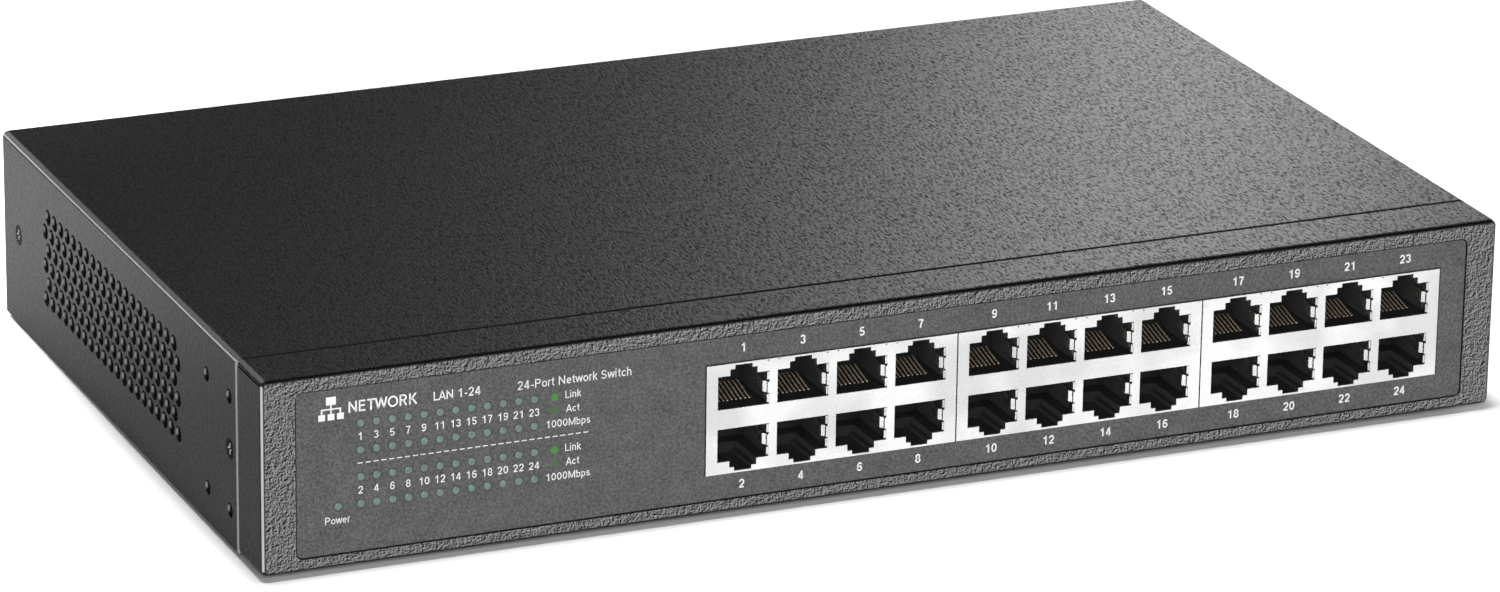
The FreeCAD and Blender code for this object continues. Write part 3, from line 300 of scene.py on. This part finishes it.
def bright_tin(name, colour, roughness=0.28):
    """Tinned sheet with faint rolling lines."""
    paint = Paint(name, colour, roughness, 1.0)
    lines = paint.add("ShaderNodeMapping", {"Vector": paint.place, "Scale": (1.0, 1.0, 14.0)}).outputs[0]
    rolled = paint.noise(1.2 * MM, 3.0, 0.6, 0.0, lines)
    shade = paint.noise(14 * MM, 1.0)
    streaks = paint.sum(paint.spread(rolled, 0.3, 0.7, 0.0, 0.25), paint.spread(shade, 0.35, 0.62, 0.0, 0.75))
    paint.tint(streaks, 0.74, 1.04)
    paint.join("Roughness", paint.spread(rolled, 0.3, 0.7, roughness - 0.05, roughness + 0.08))
    paint.bump(rolled, 0.004 * MM)
    return paint


def moulding(name, colour, roughness=0.45, grain=0.25):
    """Moulded plastic with a light spark-eroded grain."""
    paint = Paint(name, colour, roughness)
    fine = paint.noise(grain * MM, 3.0, 0.6)
    paint.tint(paint.spread(fine, 0.3, 0.7), 0.85, 1.2)
    paint.bump(fine, 0.02 * MM)
    return paint


def jack_plastic(name, colour):
    """The housings' black plastic, with a paler painted highlight on the cavity walls that face the left."""
    paint = moulding(name, colour, 0.38)
    lit_wall = paint.facing((-1.0, -0.1, 0.0), 0.8, 0.95)
    paint.join("Base Color", paint.mix(lit_wall, paint.shade(1.0), grey(0.075)))
    return paint


def gold_plate(name):
    """Worn gold plating, dark on the flanks where the wires shade each other."""
    paint = Paint(name, (0.85, 0.7, 0.54), 0.3, 0.7)
    wear = paint.spread(paint.noise(0.5 * MM, 2.0), 0.35, 0.65)
    flank = paint.facing(LEFT, 0.3, 0.8)
    paint.join("Base Color", paint.mix(flank, paint.shaded(wear, 0.85, 1.08), (0.06, 0.045, 0.03, 1.0)))
    paint.join("Roughness", paint.spread(wear, 0.0, 1.0, 0.24, 0.38))
    return paint


def clear_dot(name, colour):
    """Smoky translucent light pipe."""
    paint = Paint(name, colour, 0.35)
    cloud = paint.noise(0.8 * MM, 2.0)
    paint.tint(paint.spread(cloud, 0.3, 0.7), 0.85, 1.2)
    paint.set("Coat Weight", 0.3)
    paint.set("Coat Roughness", 0.2)
    return paint


def circuit_board(name, colour):
    """Solder mask over copper, with traces that show as slightly paler lines that stand proud."""
    paint = Paint(name, colour, 0.35)
    bricks = {"Vector": paint.place, "Scale": 60.0, "Mortar Size": 0.012}
    bricks.update({"Color1": grey(0.0), "Color2": grey(0.0), "Mortar": grey(1.0)})
    track = paint.add("ShaderNodeTexBrick", bricks).outputs["Fac"]
    cloud = paint.spread(paint.noise(4 * MM, 2.0), 0.3, 0.7, 0.0, 0.4)
    paint.tint(paint.sum(paint.product(track, 0.5), cloud), 0.75, 1.7)
    paint.bump(track, 0.03 * MM)
    return paint


def cast_metal(name, colour, roughness, metallic=1.0, grain=0.5):
    """Metal, or a wound or sleeved part, with an even fine texture."""
    paint = Paint(name, colour, roughness, metallic)
    fine = paint.noise(grain * MM, 3.0)
    paint.tint(paint.spread(fine, 0.3, 0.7), 0.85, 1.1)
    paint.join("Roughness", paint.spread(fine, 0.3, 0.7, roughness - 0.06, roughness + 0.1))
    paint.bump(fine, 0.01 * MM)
    return paint


def print_ink(name, colour):
    """Screen-printed ink, a little uneven; also the flat dark colour of painted shade."""
    paint = Paint(name, colour, 0.6)
    patch = paint.noise(0.25 * MM, 2.0)
    paint.tint(paint.spread(patch, 0.3, 0.7), 0.9, 1.08)
    paint.bump(patch, 0.004 * MM)
    return paint


def black_screw(name):
    """Blackened steel, with a painted glint: a pale patch on the recess where it faces forwards."""
    paint = Paint(name, (0.006, 0.006, 0.006), 0.35)
    fine = paint.noise(0.3 * MM, 2.0)
    paint.set("Specular IOR Level", 0.004)
    glint = paint.facing(FORWARDS, 0.5, 0.9)
    paint.join("Base Color", paint.mix(glint, paint.shade(1.0), grey(0.8)))
    paint.bump(fine, 0.01 * MM)
    return paint


CASE_BLACK = (0.013, 0.013, 0.0132)
BLACK_PLASTIC = (0.02, 0.02, 0.02)
GREEN_BOARD = (0.02, 0.13, 0.06)
BROWN_BOARD = (0.3, 0.2, 0.08)
PLATED_STEEL = (0.7, 0.7, 0.7)


def make_materials():
    return {
        "cover_paint": powder_coat("cover_paint", CASE_BLACK),
        "chassis_paint": wrinkle_coat("chassis_paint", CASE_BLACK),
        "overlay": matt_film("overlay", (0.082, 0.082, 0.083)),
        "jack_shield": bright_tin("jack_shield", (0.8, 0.8, 0.8)),
        "jack_housing": jack_plastic("jack_housing", BLACK_PLASTIC),
        "contact": gold_plate("contact"),
        "lens": clear_dot("lens", (0.1, 0.16, 0.142)),
        "light_shield": moulding("light_shield", (0.01, 0.01, 0.01), 0.6),
        "led_board": circuit_board("led_board", GREEN_BOARD),
        "led": moulding("led", (0.75, 0.75, 0.6), 0.3),
        "main_board": circuit_board("main_board", GREEN_BOARD),
        "power_board": circuit_board("power_board", BROWN_BOARD),
        "standoff": cast_metal("standoff", (0.7, 0.68, 0.62), 0.3),
        "board_screw": cast_metal("board_screw", PLATED_STEEL, 0.28),
        "switch_chip": moulding("switch_chip", BLACK_PLASTIC, 0.5, 0.15),
        "phy_chip": moulding("phy_chip", BLACK_PLASTIC, 0.5, 0.15),
        "switch_sink": cast_metal("switch_sink", (0.6, 0.6, 0.62), 0.35),
        "phy_sink": cast_metal("phy_sink", (0.1, 0.1, 0.1), 0.4, 0.6),
        "magnetics": moulding("magnetics", (0.025, 0.025, 0.025), 0.45, 0.3),
        "capacitor": cast_metal("capacitor", (0.12, 0.13, 0.2), 0.35, 0.3),
        "inductor": cast_metal("inductor", (0.14, 0.14, 0.14), 0.6, 0.2, 0.3),
        "transformer": cast_metal("transformer", (0.5, 0.42, 0.12), 0.45, 0.0),
        "bulk_capacitor": cast_metal("bulk_capacitor", (0.03, 0.03, 0.04), 0.35, 0.1),
        "power_sink": cast_metal("power_sink", (0.7, 0.7, 0.72), 0.35),
        "choke": cast_metal("choke", (0.45, 0.18, 0.07), 0.35, 0.8, 0.8),
        "inlet": moulding("inlet", (0.015, 0.015, 0.015), 0.35),
        "blade": cast_metal("blade", (0.75, 0.72, 0.66), 0.25),
        "mains_wire": moulding("mains_wire", (0.25, 0.12, 0.06), 0.35),
        "ground_wire": moulding("ground_wire", (0.15, 0.4, 0.05), 0.35),
        "dc_wire": moulding("dc_wire", (0.45, 0.03, 0.03), 0.35),
        "cover_screw": black_screw("cover_screw"),
        "ground_screw": cast_metal("ground_screw", PLATED_STEEL, 0.28),
        "foot": moulding("foot", BLACK_PLASTIC, 0.75, 0.5),
        "white_ink": print_ink("white_ink", (0.8, 0.8, 0.8)),
        "green_ink": print_ink("green_ink", (0.04, 0.2, 0.018)),
        "dim_green_ink": print_ink("dim_green_ink", (0.045, 0.105, 0.03)),
        # The next two are flat dark colours of painted shade: the gap shadow by the window and the rings
        # round the lenses.
        "gap_shadow_black": print_ink("gap_shadow_black", (0.006, 0.006, 0.006)),
        "lens_ring_shade": print_ink("lens_ring_shade", (0.03, 0.033, 0.032)),
    }


materials = {name: paint.material for name, paint in make_materials().items()}

# ---------------------------------------------------------------- CAD nodes


def dress_cad_nodes():
    for entry in frame["record"]["subparts"]:
        node = frame["nodes"][entry["node"]]
        node.data.materials.clear()
        node.data.materials.append(materials[entry["material_slot"]])


dress_cad_nodes()

# ---------------------------------------------------------------- pieces


def add_piece(name, mesh, material, body=ROOT):
    piece = bpy.data.objects.new(name, mesh)
    bpy.context.collection.objects.link(piece)
    mesh.materials.clear()
    mesh.materials.append(materials[material])
    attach(piece, body)
    return piece


OVERLAY_FACE = overlay_low.y
INK = 0.03 * MM
jack_centres = {}
for port in PORTS:
    port_low, port_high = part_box(f"contacts_port_{port}")
    jack_centres[port] = (port_low.x + port_high.x) / 2
led_low, led_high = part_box("status_leds")


def arc(middle_x, middle_y, radius_x, radius_y, start, end, steps=9):
    """Points along part of an ellipse, between two angles in degrees."""
    angles = [math.radians(start + (end - start) * step / steps) for step in range(steps + 1)]
    return [(middle_x + radius_x * math.cos(turn), middle_y + radius_y * math.sin(turn)) for turn in angles]


def ring(middle_x, middle_y, radius_x, radius_y):
    return arc(middle_x, middle_y, radius_x, radius_y, 0, 360, 18)


# The centre lines of each character's strokes, in capital heights, and how far the next one starts.
STEM = [(0.13, 0.0), (0.13, 1.0)]
SMALL_STEM = [(0.12, 0.0), (0.12, 0.72)]
BOWL = [(0.13, 0.93)] + arc(0.42, 0.71, 0.22, 0.22, 90, -90) + [(0.13, 0.49)]
SHOULDER = arc(0.31, 0.45, 0.19, 0.2, 180, 0) + [(0.5, 0.0)]
SIX_BACK = arc(0.36, 0.45, 0.25, 0.48, 40, 180) + [(0.11, 0.3)]
SIX = [ring(0.34, 0.31, 0.23, 0.24), SIX_BACK]
FIVE_BOWL = arc(0.33, 0.32, 0.24, 0.25, 135, -155)
LOW_BAR = [(0.13, 0.07), (0.6, 0.07)]
GLYPHS = {
    "0": (0.76, [ring(0.34, 0.5, 0.24, 0.43)]),
    "1": (0.76, [[(0.42, 0.0), (0.42, 1.0)], [(0.13, 0.73), (0.3, 0.78), (0.4, 0.96)]]),
    "2": (0.76, [arc(0.34, 0.68, 0.23, 0.25, 175, -40) + [(0.12, 0.09)], [(0.06, 0.07), (0.6, 0.07)]]),
    "3": (0.76, [arc(0.32, 0.71, 0.21, 0.22, 165, -90), arc(0.32, 0.28, 0.24, 0.21, 90, -165)]),
    "4": (0.76, [[(0.46, 0.0), (0.46, 0.98)], [(0.43, 0.94), (0.09, 0.31)], [(0.04, 0.27), (0.64, 0.27)]]),
    "5": (0.76, [[(0.56, 0.92), (0.17, 0.92)], [(0.19, 0.96), (0.12, 0.48)], FIVE_BOWL]),
    "6": (0.76, SIX),
    "7": (0.76, [[(0.07, 0.92), (0.61, 0.92)], [(0.59, 0.9), (0.38, 0.5), (0.28, 0.0)]]),
    "8": (0.76, [ring(0.34, 0.71, 0.2, 0.22), ring(0.34, 0.28, 0.24, 0.21)]),
    "9": (0.76, [[(0.68 - x, 1.0 - y) for x, y in stroke] for stroke in SIX]),
    "-": (0.45, [[(0.06, 0.34), (0.38, 0.34)]]),
    " ": (0.38, []),
    "A": (0.8, [[(0.04, 0.0), (0.38, 1.0)], [(0.38, 1.0), (0.72, 0.0)], [(0.16, 0.3), (0.6, 0.3)]]),
    "E": (0.78, [STEM, [(0.13, 0.93), (0.64, 0.93)], [(0.13, 0.52), (0.59, 0.52)],
                 [(0.13, 0.07), (0.65, 0.07)]]),
    "K": (0.82, [STEM, [(0.13, 0.35), (0.67, 1.0)], [(0.32, 0.58), (0.72, 0.0)]]),
    "L": (0.66, [STEM, LOW_BAR]),
    "M": (1.06, [STEM, [(0.15, 0.96), (0.52, 0.04)], [(0.52, 0.04), (0.89, 0.96)],
                 [(0.91, 0.0), (0.91, 1.0)]]),
    "N": (0.92, [STEM, [(0.13, 0.94), (0.73, 0.06)], [(0.73, 0.0), (0.73, 1.0)]]),
    "O": (1.04, [ring(0.5, 0.5, 0.39, 0.43)]),
    "P": (0.8, [STEM, BOWL]),
    "R": (0.86, [STEM, BOWL, [(0.4, 0.5), (0.67, 0.0)]]),
    "S": (0.78, [arc(0.37, 0.71, 0.24, 0.22, 20, 270), arc(0.37, 0.28, 0.26, 0.21, 90, -160)]),
    "T": (0.74, [[(0.37, 0.0), (0.37, 0.95)], [(0.03, 0.93), (0.71, 0.93)]]),
    "W": (1.1, [[(0.05, 1.0), (0.29, 0.02)], [(0.29, 0.02), (0.54, 1.0)], [(0.54, 1.0), (0.79, 0.02)],
                [(0.79, 0.02), (1.03, 1.0)]]),
    "b": (0.68, [[(0.12, 0.0), (0.12, 1.0)], ring(0.34, 0.35, 0.21, 0.29)]),
    "c": (0.62, [arc(0.33, 0.35, 0.22, 0.29, 45, 315)]),
    "e": (0.66, [[(0.11, 0.37), (0.55, 0.37)], arc(0.33, 0.35, 0.22, 0.29, 3, 315)]),
    "h": (0.66, [[(0.12, 0.0), (0.12, 1.0)], SHOULDER]),
    "i": (0.3, [SMALL_STEM, [(0.12, 0.86), (0.12, 1.0)]]),
    "k": (0.58, [[(0.12, 0.0), (0.12, 1.0)], [(0.12, 0.28), (0.49, 0.72)], [(0.26, 0.44), (0.52, 0.0)]]),
    "n": (0.66, [SMALL_STEM, SHOULDER]),
    "o": (0.68, [ring(0.34, 0.35, 0.23, 0.29)]),
    "p": (0.68, [[(0.12, -0.26), (0.12, 0.72)], ring(0.34, 0.35, 0.21, 0.29)]),
    "r": (0.42, [SMALL_STEM, arc(0.33, 0.42, 0.21, 0.24, 180, 85)]),
    "s": (0.6, [arc(0.3, 0.5, 0.17, 0.155, 20, 270), arc(0.3, 0.21, 0.19, 0.145, 90, -160)]),
    "t": (0.42, [[(0.2, 0.92), (0.2, 0.2), (0.25, 0.09), (0.36, 0.06)], [(0.04, 0.67), (0.37, 0.67)]]),
    "w": (0.84, [[(0.04, 0.72), (0.22, 0.02)], [(0.22, 0.02), (0.41, 0.72)], [(0.41, 0.72), (0.6, 0.02)],
                 [(0.6, 0.02), (0.78, 0.72)]]),
}


def add_stroke(shape, path, half_weight):
    """A flat bar along a path of (across, height) places on the overlay."""
    rings = []
    for step, (across, height) in enumerate(path):
        before, after = path[max(step - 1, 0)], path[min(step + 1, len(path) - 1)]
        along = Vector((after[0] - before[0], after[1] - before[1])).normalized()
        side = Vector((-along.y, along.x)) * half_weight
        front, back = OVERLAY_FACE - INK, OVERLAY_FACE
        corners = [(side, front), (-side, front), (-side, back), (side, back)]
        places = [(across + shift.x, depth, height + shift.y) for shift, depth in corners]
        rings.append([shape.verts.new(place) for place in places])
    for first, second in zip(rings, rings[1:]):
        for here in range(4):
            there = (here + 1) % 4
            shape.faces.new((first[here], first[there], second[there], second[here]))
    shape.faces.new(rings[0])
    shape.faces.new(rings[-1])


def letters(text, middle, base, height, weight):
    """Plain lettering as a mesh on the overlay, from its middle and the height of its base line."""
    shape = bmesh.new()
    left = middle - sum(GLYPHS[character][0] for character in text) * height / 2
    for character in text:
        advance, strokes = GLYPHS[character]
        for stroke in strokes:
            path = [(left + x * height, base + y * height) for x, y in stroke]
            add_stroke(shape, path, weight * height / 2)
        left += advance * height
    mesh = bpy.data.meshes.new("lettering")
    shape.to_mesh(mesh)
    shape.free()
    return mesh


def merge(name, meshes, material):
    """One piece out of several meshes, which are used up."""
    shape = bmesh.new()
    for mesh in meshes:
        shape.from_mesh(mesh)
        bpy.data.meshes.remove(mesh)
    bmesh.ops.recalc_face_normals(shape, faces=shape.faces)
    whole = bpy.data.meshes.new(name)
    shape.to_mesh(whole)
    shape.free()
    return add_piece(name, whole, material)


CASE_FLOOR = overlay_low.z - 3.0 * MM
LETTER_HEIGHT = {"port": 2.0 * MM, "light": 1.75 * MM, "word": 1.7 * MM, "title": 2.0 * MM, "name": 2.5 * MM}
# Heights of the printed rows above the underside of the case, in millimetres.
ODD_PORT_ROW = 37.4
EVEN_PORT_ROW = 6.0
ODD_LIGHT_ROW = 28.85
EVEN_LIGHT_ROW = 16.73
POWER_ROW = 10.6
TITLE_ROW = 35.4
LEGEND_DROP = 12.1
# Each word of the legend with the middle of its line, across and up, in millimetres.
LEGEND_WORDS = [("Link", -76.6, 32.0), ("Act", -76.6, 28.8), ("1000Mbps", -77.7, 25.7)]
WORD_WEIGHT = 0.115


def level(height):
    """A height on the front panel, from the underside of the steel case."""
    return CASE_FLOOR + height * MM


def centred(text, across, height, kind, weight):
    """Lettering with its middle at a place on the front panel, given in metres and in case millimetres."""
    size = LETTER_HEIGHT[kind]
    return letters(text, across, level(height) - size / 2, size, weight)


def print_port_numbers():
    meshes = []
    for port in PORTS:
        number = int(port)
        height = ODD_PORT_ROW if number % 2 else EVEN_PORT_ROW
        meshes.append(centred(str(number), jack_centres[port], height, "port", 0.17))
    merge("port_numbers", meshes, "white_ink")


def print_light_legend():
    meshes = []
    for column in range(LIGHT_COLUMNS):
        across = light_places()[column * LIGHT_ROWS][0]
        meshes.append(centred(str(column * 2 + 1), across, ODD_LIGHT_ROW, "light", 0.125))
        meshes.append(centred(str(column * 2 + 2), across, EVEN_LIGHT_ROW, "light", 0.125))
    for drop in (0.0, LEGEND_DROP):
        for word, across, height in LEGEND_WORDS:
            meshes.append(centred(word, across * MM, height - drop, "word", WORD_WEIGHT))
    meshes.append(centred("Power", -130.1 * MM, POWER_ROW, "word", WORD_WEIGHT))
    meshes.append(centred("24-Port Network Switch", -76.2 * MM, TITLE_ROW, "title", 0.11))
    meshes.append(centred("LAN 1-24", -103.0 * MM, TITLE_ROW + 0.2, "title", 0.13))
    meshes.append(centred("NETWORK", -119.8 * MM, TITLE_ROW + 0.3, "name", 0.15))
    merge("light_legend", meshes, "white_ink")


def flat_shape(outlines):
    """A thin print from outlines of (across, height) points, standing on the overlay."""
    shape = bmesh.new()
    for outline in outlines:
        corners = [shape.verts.new((x, OVERLAY_FACE - INK, z)) for x, z in outline]
        face = shape.faces.new(corners)
        lifted = bmesh.ops.extrude_face_region(shape, geom=[face])
        for item in lifted["geom"]:
            if isinstance(item, bmesh.types.BMVert):
                item.co.y += INK
    bmesh.ops.recalc_face_normals(shape, faces=shape.faces)
    mesh = bpy.data.meshes.new("print")
    shape.to_mesh(mesh)
    shape.free()
    return mesh


def bar(left, low, right, high):
    return [(left, low), (right, low), (right, high), (left, high)]


def circle(across, height, radius, sides):
    turns = [math.tau * side / sides for side in range(sides)]
    return [(across + radius * math.cos(turn), height + radius * math.sin(turn)) for turn in turns]


def disc(across, height, radius):
    return circle(across, height, radius, 28)


def print_dashes():
    """The dashed line between the odd and the even lights."""
    dash, pitch = 1.15 * MM, 1.77 * MM
    left, right = -125.5 * MM, -73.5 * MM
    low, high = level(22.7), level(22.9)
    dashes = []
    while left < right:
        dashes.append(bar(left, low, left + dash, high))
        left += pitch
    merge("dashed_line", [flat_shape(dashes)], "white_ink")


def print_legend_dots():
    """A printed dot beside each "Link" and "Act"."""
    across, radius, drop = -80.84 * MM, 0.85 * MM, 12.07
    for name, ink, height in (("link_dots", "green_ink", 31.74), ("act_dots", "dim_green_ink", 28.75)):
        dots = [disc(across, level(row), radius) for row in (height, height - drop)]
        merge(name, [flat_shape(dots)], ink)


def print_window_edge():
    """A painted shadow: dark bands on the film above and to the right of the jacks, where the gap at the
    window's edge lies in shade.
    """
    low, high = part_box("jack_shield_a")
    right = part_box("jack_shield_c")[1].x
    lower, upper = high.z + 0.05 * MM, high.z + 0.3 * MM
    inner, outer = right + 0.12 * MM, right + 0.4 * MM
    edges = [bar(low.x, lower, outer, upper), bar(inner, low.z, outer, lower)]
    merge("window_gap_shadow", [flat_shape(edges)], "gap_shadow_black")


def print_pictogram():
    """A plain sign for a network: one box above, joined to three below."""
    centre, low = -131.4 * MM, 33.3
    line, spacing = 0.16 * MM, 2.1 * MM
    rises = (1.4, 2.3, 2.6, 3.4, 5.2)
    box_top, rail_low, rail_top, stem_top, sign_top = [level(low + rise) for rise in rises]
    boxes = [bar(centre - 1.1 * MM, stem_top, centre + 1.1 * MM, sign_top)]
    for x in (centre - spacing, centre, centre + spacing):
        boxes.append(bar(x - 0.75 * MM, level(low), x + 0.75 * MM, box_top))
        boxes.append(bar(x - line, box_top, x + line, rail_low))
    boxes.append(bar(centre - spacing - line, rail_low, centre + spacing + line, rail_top))
    boxes.append(bar(centre - line, rail_top, centre + line, stem_top))
    merge("network_sign", [flat_shape(boxes)], "white_ink")


LIGHT_COLUMNS = 12
LIGHT_ROWS = 4


def light_places():
    """The middle of every indicator: twelve columns of four, and one for the power."""
    half_led, power_gap = 0.6 * MM, 5.1 * MM
    lowest_row, row_pitch = 13.6, 6.07
    power = led_low.x + half_led
    first = power + power_gap
    pitch = (led_high.x - half_led - first) / (LIGHT_COLUMNS - 1)
    heights = [level(lowest_row + row_pitch * row) for row in range(LIGHT_ROWS)]
    places = [(first + pitch * column, height) for column in range(LIGHT_COLUMNS) for height in heights]
    return places + [(power, level(lowest_row))]


def add_dome(shape, across, height, radius, rise, sides):
    """A low dome of rings that narrow towards the front, closed by a flat tip."""
    below = None
    for tilt in (0.0, 30.0, 55.0, 75.0):
        depth = OVERLAY_FACE - INK - (rise - INK) * math.sin(math.radians(tilt))
        outline = circle(across, height, radius * math.cos(math.radians(tilt)), sides)
        here = [shape.verts.new((x, depth, z)) for x, z in outline]
        for side in range(sides if below else 0):
            after = (side + 1) % sides
            shape.faces.new((below[side], below[after], here[after], here[side]))
        below = here
    shape.faces.new(below)


def add_lens_domes():
    """The rounded tips of the light pipes, each in a darker ring of painted shade where the film is cut."""
    cuts = [disc(across, height, 1.08 * MM) for across, height in light_places()]
    merge("lens_shade_rings", [flat_shape(cuts)], "lens_ring_shade")
    shape = bmesh.new()
    for across, height in light_places():
        add_dome(shape, across, height, radius=0.85 * MM, rise=0.2 * MM, sides=20)
    for face in shape.faces:
        face.smooth = True
    mesh = bpy.data.meshes.new("domes")
    shape.to_mesh(mesh)
    shape.free()
    merge("lens_domes", [mesh], "lens")


print_port_numbers()
print_light_legend()
add_lens_domes()
print_dashes()
print_legend_dots()
print_pictogram()
print_window_edge()

# ---------------------------------------------------------------- stage, light and camera


STAGE_REACH = 12.0
WALL_DISTANCE = 10.0
WALL_HEIGHT = 6.0


def add_stage_piece(name, corners, faces, paint):
    mesh = bpy.data.meshes.new(name)
    mesh.from_pydata(corners, [], faces)
    mesh.materials.append(paint.material)
    piece = bpy.data.objects.new(name, mesh)
    bpy.context.collection.objects.link(piece)
    return piece


def make_floor():
    """A pale floor that the lamps light near the object, and that stays as pale farther out."""
    paint = Paint("floor", (0.93, 0.93, 0.93), 0.9)
    paint.set("Specular IOR Level", 0.0)
    distance = paint.add("ShaderNodeVectorMath", {0: paint.place}, operation="LENGTH").outputs["Value"]
    paint.set("Emission Color", grey(1.0))
    paint.join("Emission Strength", paint.spread(distance, 1.2, 3.5))
    corners = [(x, y, 0.0) for x, y in bar(-STAGE_REACH, -STAGE_REACH, STAGE_REACH, STAGE_REACH)]
    floor = add_stage_piece("floor", corners, [(0, 1, 2, 3)], paint)
    floor.location.z = cad_low.z - 0.05 * MM


def make_wall():
    """A pale round backdrop far out. It is only seen, and gives the object neither light nor reflections."""
    paint = Paint("wall", (0.0, 0.0, 0.0), 1.0)
    paint.set("Specular IOR Level", 0.0)
    paint.set("Emission Color", grey(1.0))
    paint.set("Emission Strength", 1.0)
    sides = 48
    outline = circle(0.0, 0.0, WALL_DISTANCE, sides)
    corners = [(x, y, z) for z in (0.0, WALL_HEIGHT) for x, y in outline]
    faces = [(side, (side + 1) % sides, (side + 1) % sides + sides, side + sides) for side in range(sides)]
    wall = add_stage_piece("wall", corners, faces, paint)
    wall.visible_diffuse = False
    wall.visible_glossy = False
    wall.visible_transmission = False
    wall.visible_shadow = False


def aim_lamp(lamp, place, target):
    holder = bpy.data.objects.new(lamp.name, lamp)
    holder.location = place
    holder.rotation_euler = (Vector(target) - Vector(place)).to_track_quat("-Z", "Y").to_euler()
    bpy.context.collection.objects.link(holder)
    return holder


def add_light(name, place, target, width, height, power):
    lamp = bpy.data.lights.new(name, "AREA")
    lamp.shape = "RECTANGLE"
    lamp.size, lamp.size_y = width, height
    lamp.energy = power
    return aim_lamp(lamp, place, target)


def add_spot(name, place, target, angle, power):
    lamp = bpy.data.lights.new(name, "SPOT")
    lamp.spot_size = math.radians(angle)
    lamp.spot_blend = 1.0
    lamp.shadow_soft_size = 0.05
    lamp.energy = power
    aim_lamp(lamp, place, target)


def make_light():
    """Lamps above, in front and behind, a narrow one that the cover reflects, and a glow on the floor.

    The overhead lamp isn't reflected, so that the cover stays black from above."""
    world = bpy.data.worlds.new("studio")
    bpy.context.scene.world = world
    world.use_nodes = True
    background = world.node_tree.nodes["Background"]
    background.inputs["Color"].default_value = grey(1.0)
    background.inputs["Strength"].default_value = 0.012
    overhead = add_light("overhead", (-0.11, -0.06, 2.6), (-0.11, -0.06, 0.0), 0.4, 0.4, 67.0)
    overhead.visible_glossy = False
    add_light("front", (-0.6, -2.3, 1.0), (0.0, 0.0, 0.0), 2.4, 1.4, 50.0)
    add_light("back_right", (1.225, 2.125, 0.829), (0.1, 0.0, 0.045), 0.2, 1.4, 4.4)
    add_light("right_rear", (1.9, 1.1, 0.3), (0.0, 0.0, 0.02), 1.0, 0.5, 36.0)
    add_spot("left_glow", (-0.45, 0.5, 0.8), (-0.2, 0.18, 0.0), 17.0, 85.0)


def make_camera():
    """Looks down from the front left through a long lens, turned a little about its own axis."""
    yaw, pitch, roll = math.radians(23.391), math.radians(19.563), math.radians(0.817)
    ahead = Vector((math.sin(yaw) * math.cos(pitch), math.cos(yaw) * math.cos(pitch), -math.sin(pitch)))
    right = Vector((math.cos(yaw), -math.sin(yaw), 0.0))
    up = right.cross(ahead)
    tilted_right = right * math.cos(roll) + up * math.sin(roll)
    tilted_up = up * math.cos(roll) - right * math.sin(roll)
    camera = bpy.data.objects.new("camera", bpy.data.cameras.new("camera"))
    bpy.context.collection.objects.link(camera)
    axes = Matrix((tilted_right, tilted_up, -ahead)).transposed().to_4x4()
    camera.matrix_world = Matrix.Translation((-0.594, -1.3802, 0.5499)) @ axes
    camera.data.sensor_width = 36.0
    camera.data.lens = 166.8
    bpy.context.scene.camera = camera


make_floor()
make_wall()
make_light()
make_camera()
bpy.context.scene.view_settings.view_transform = "Standard"
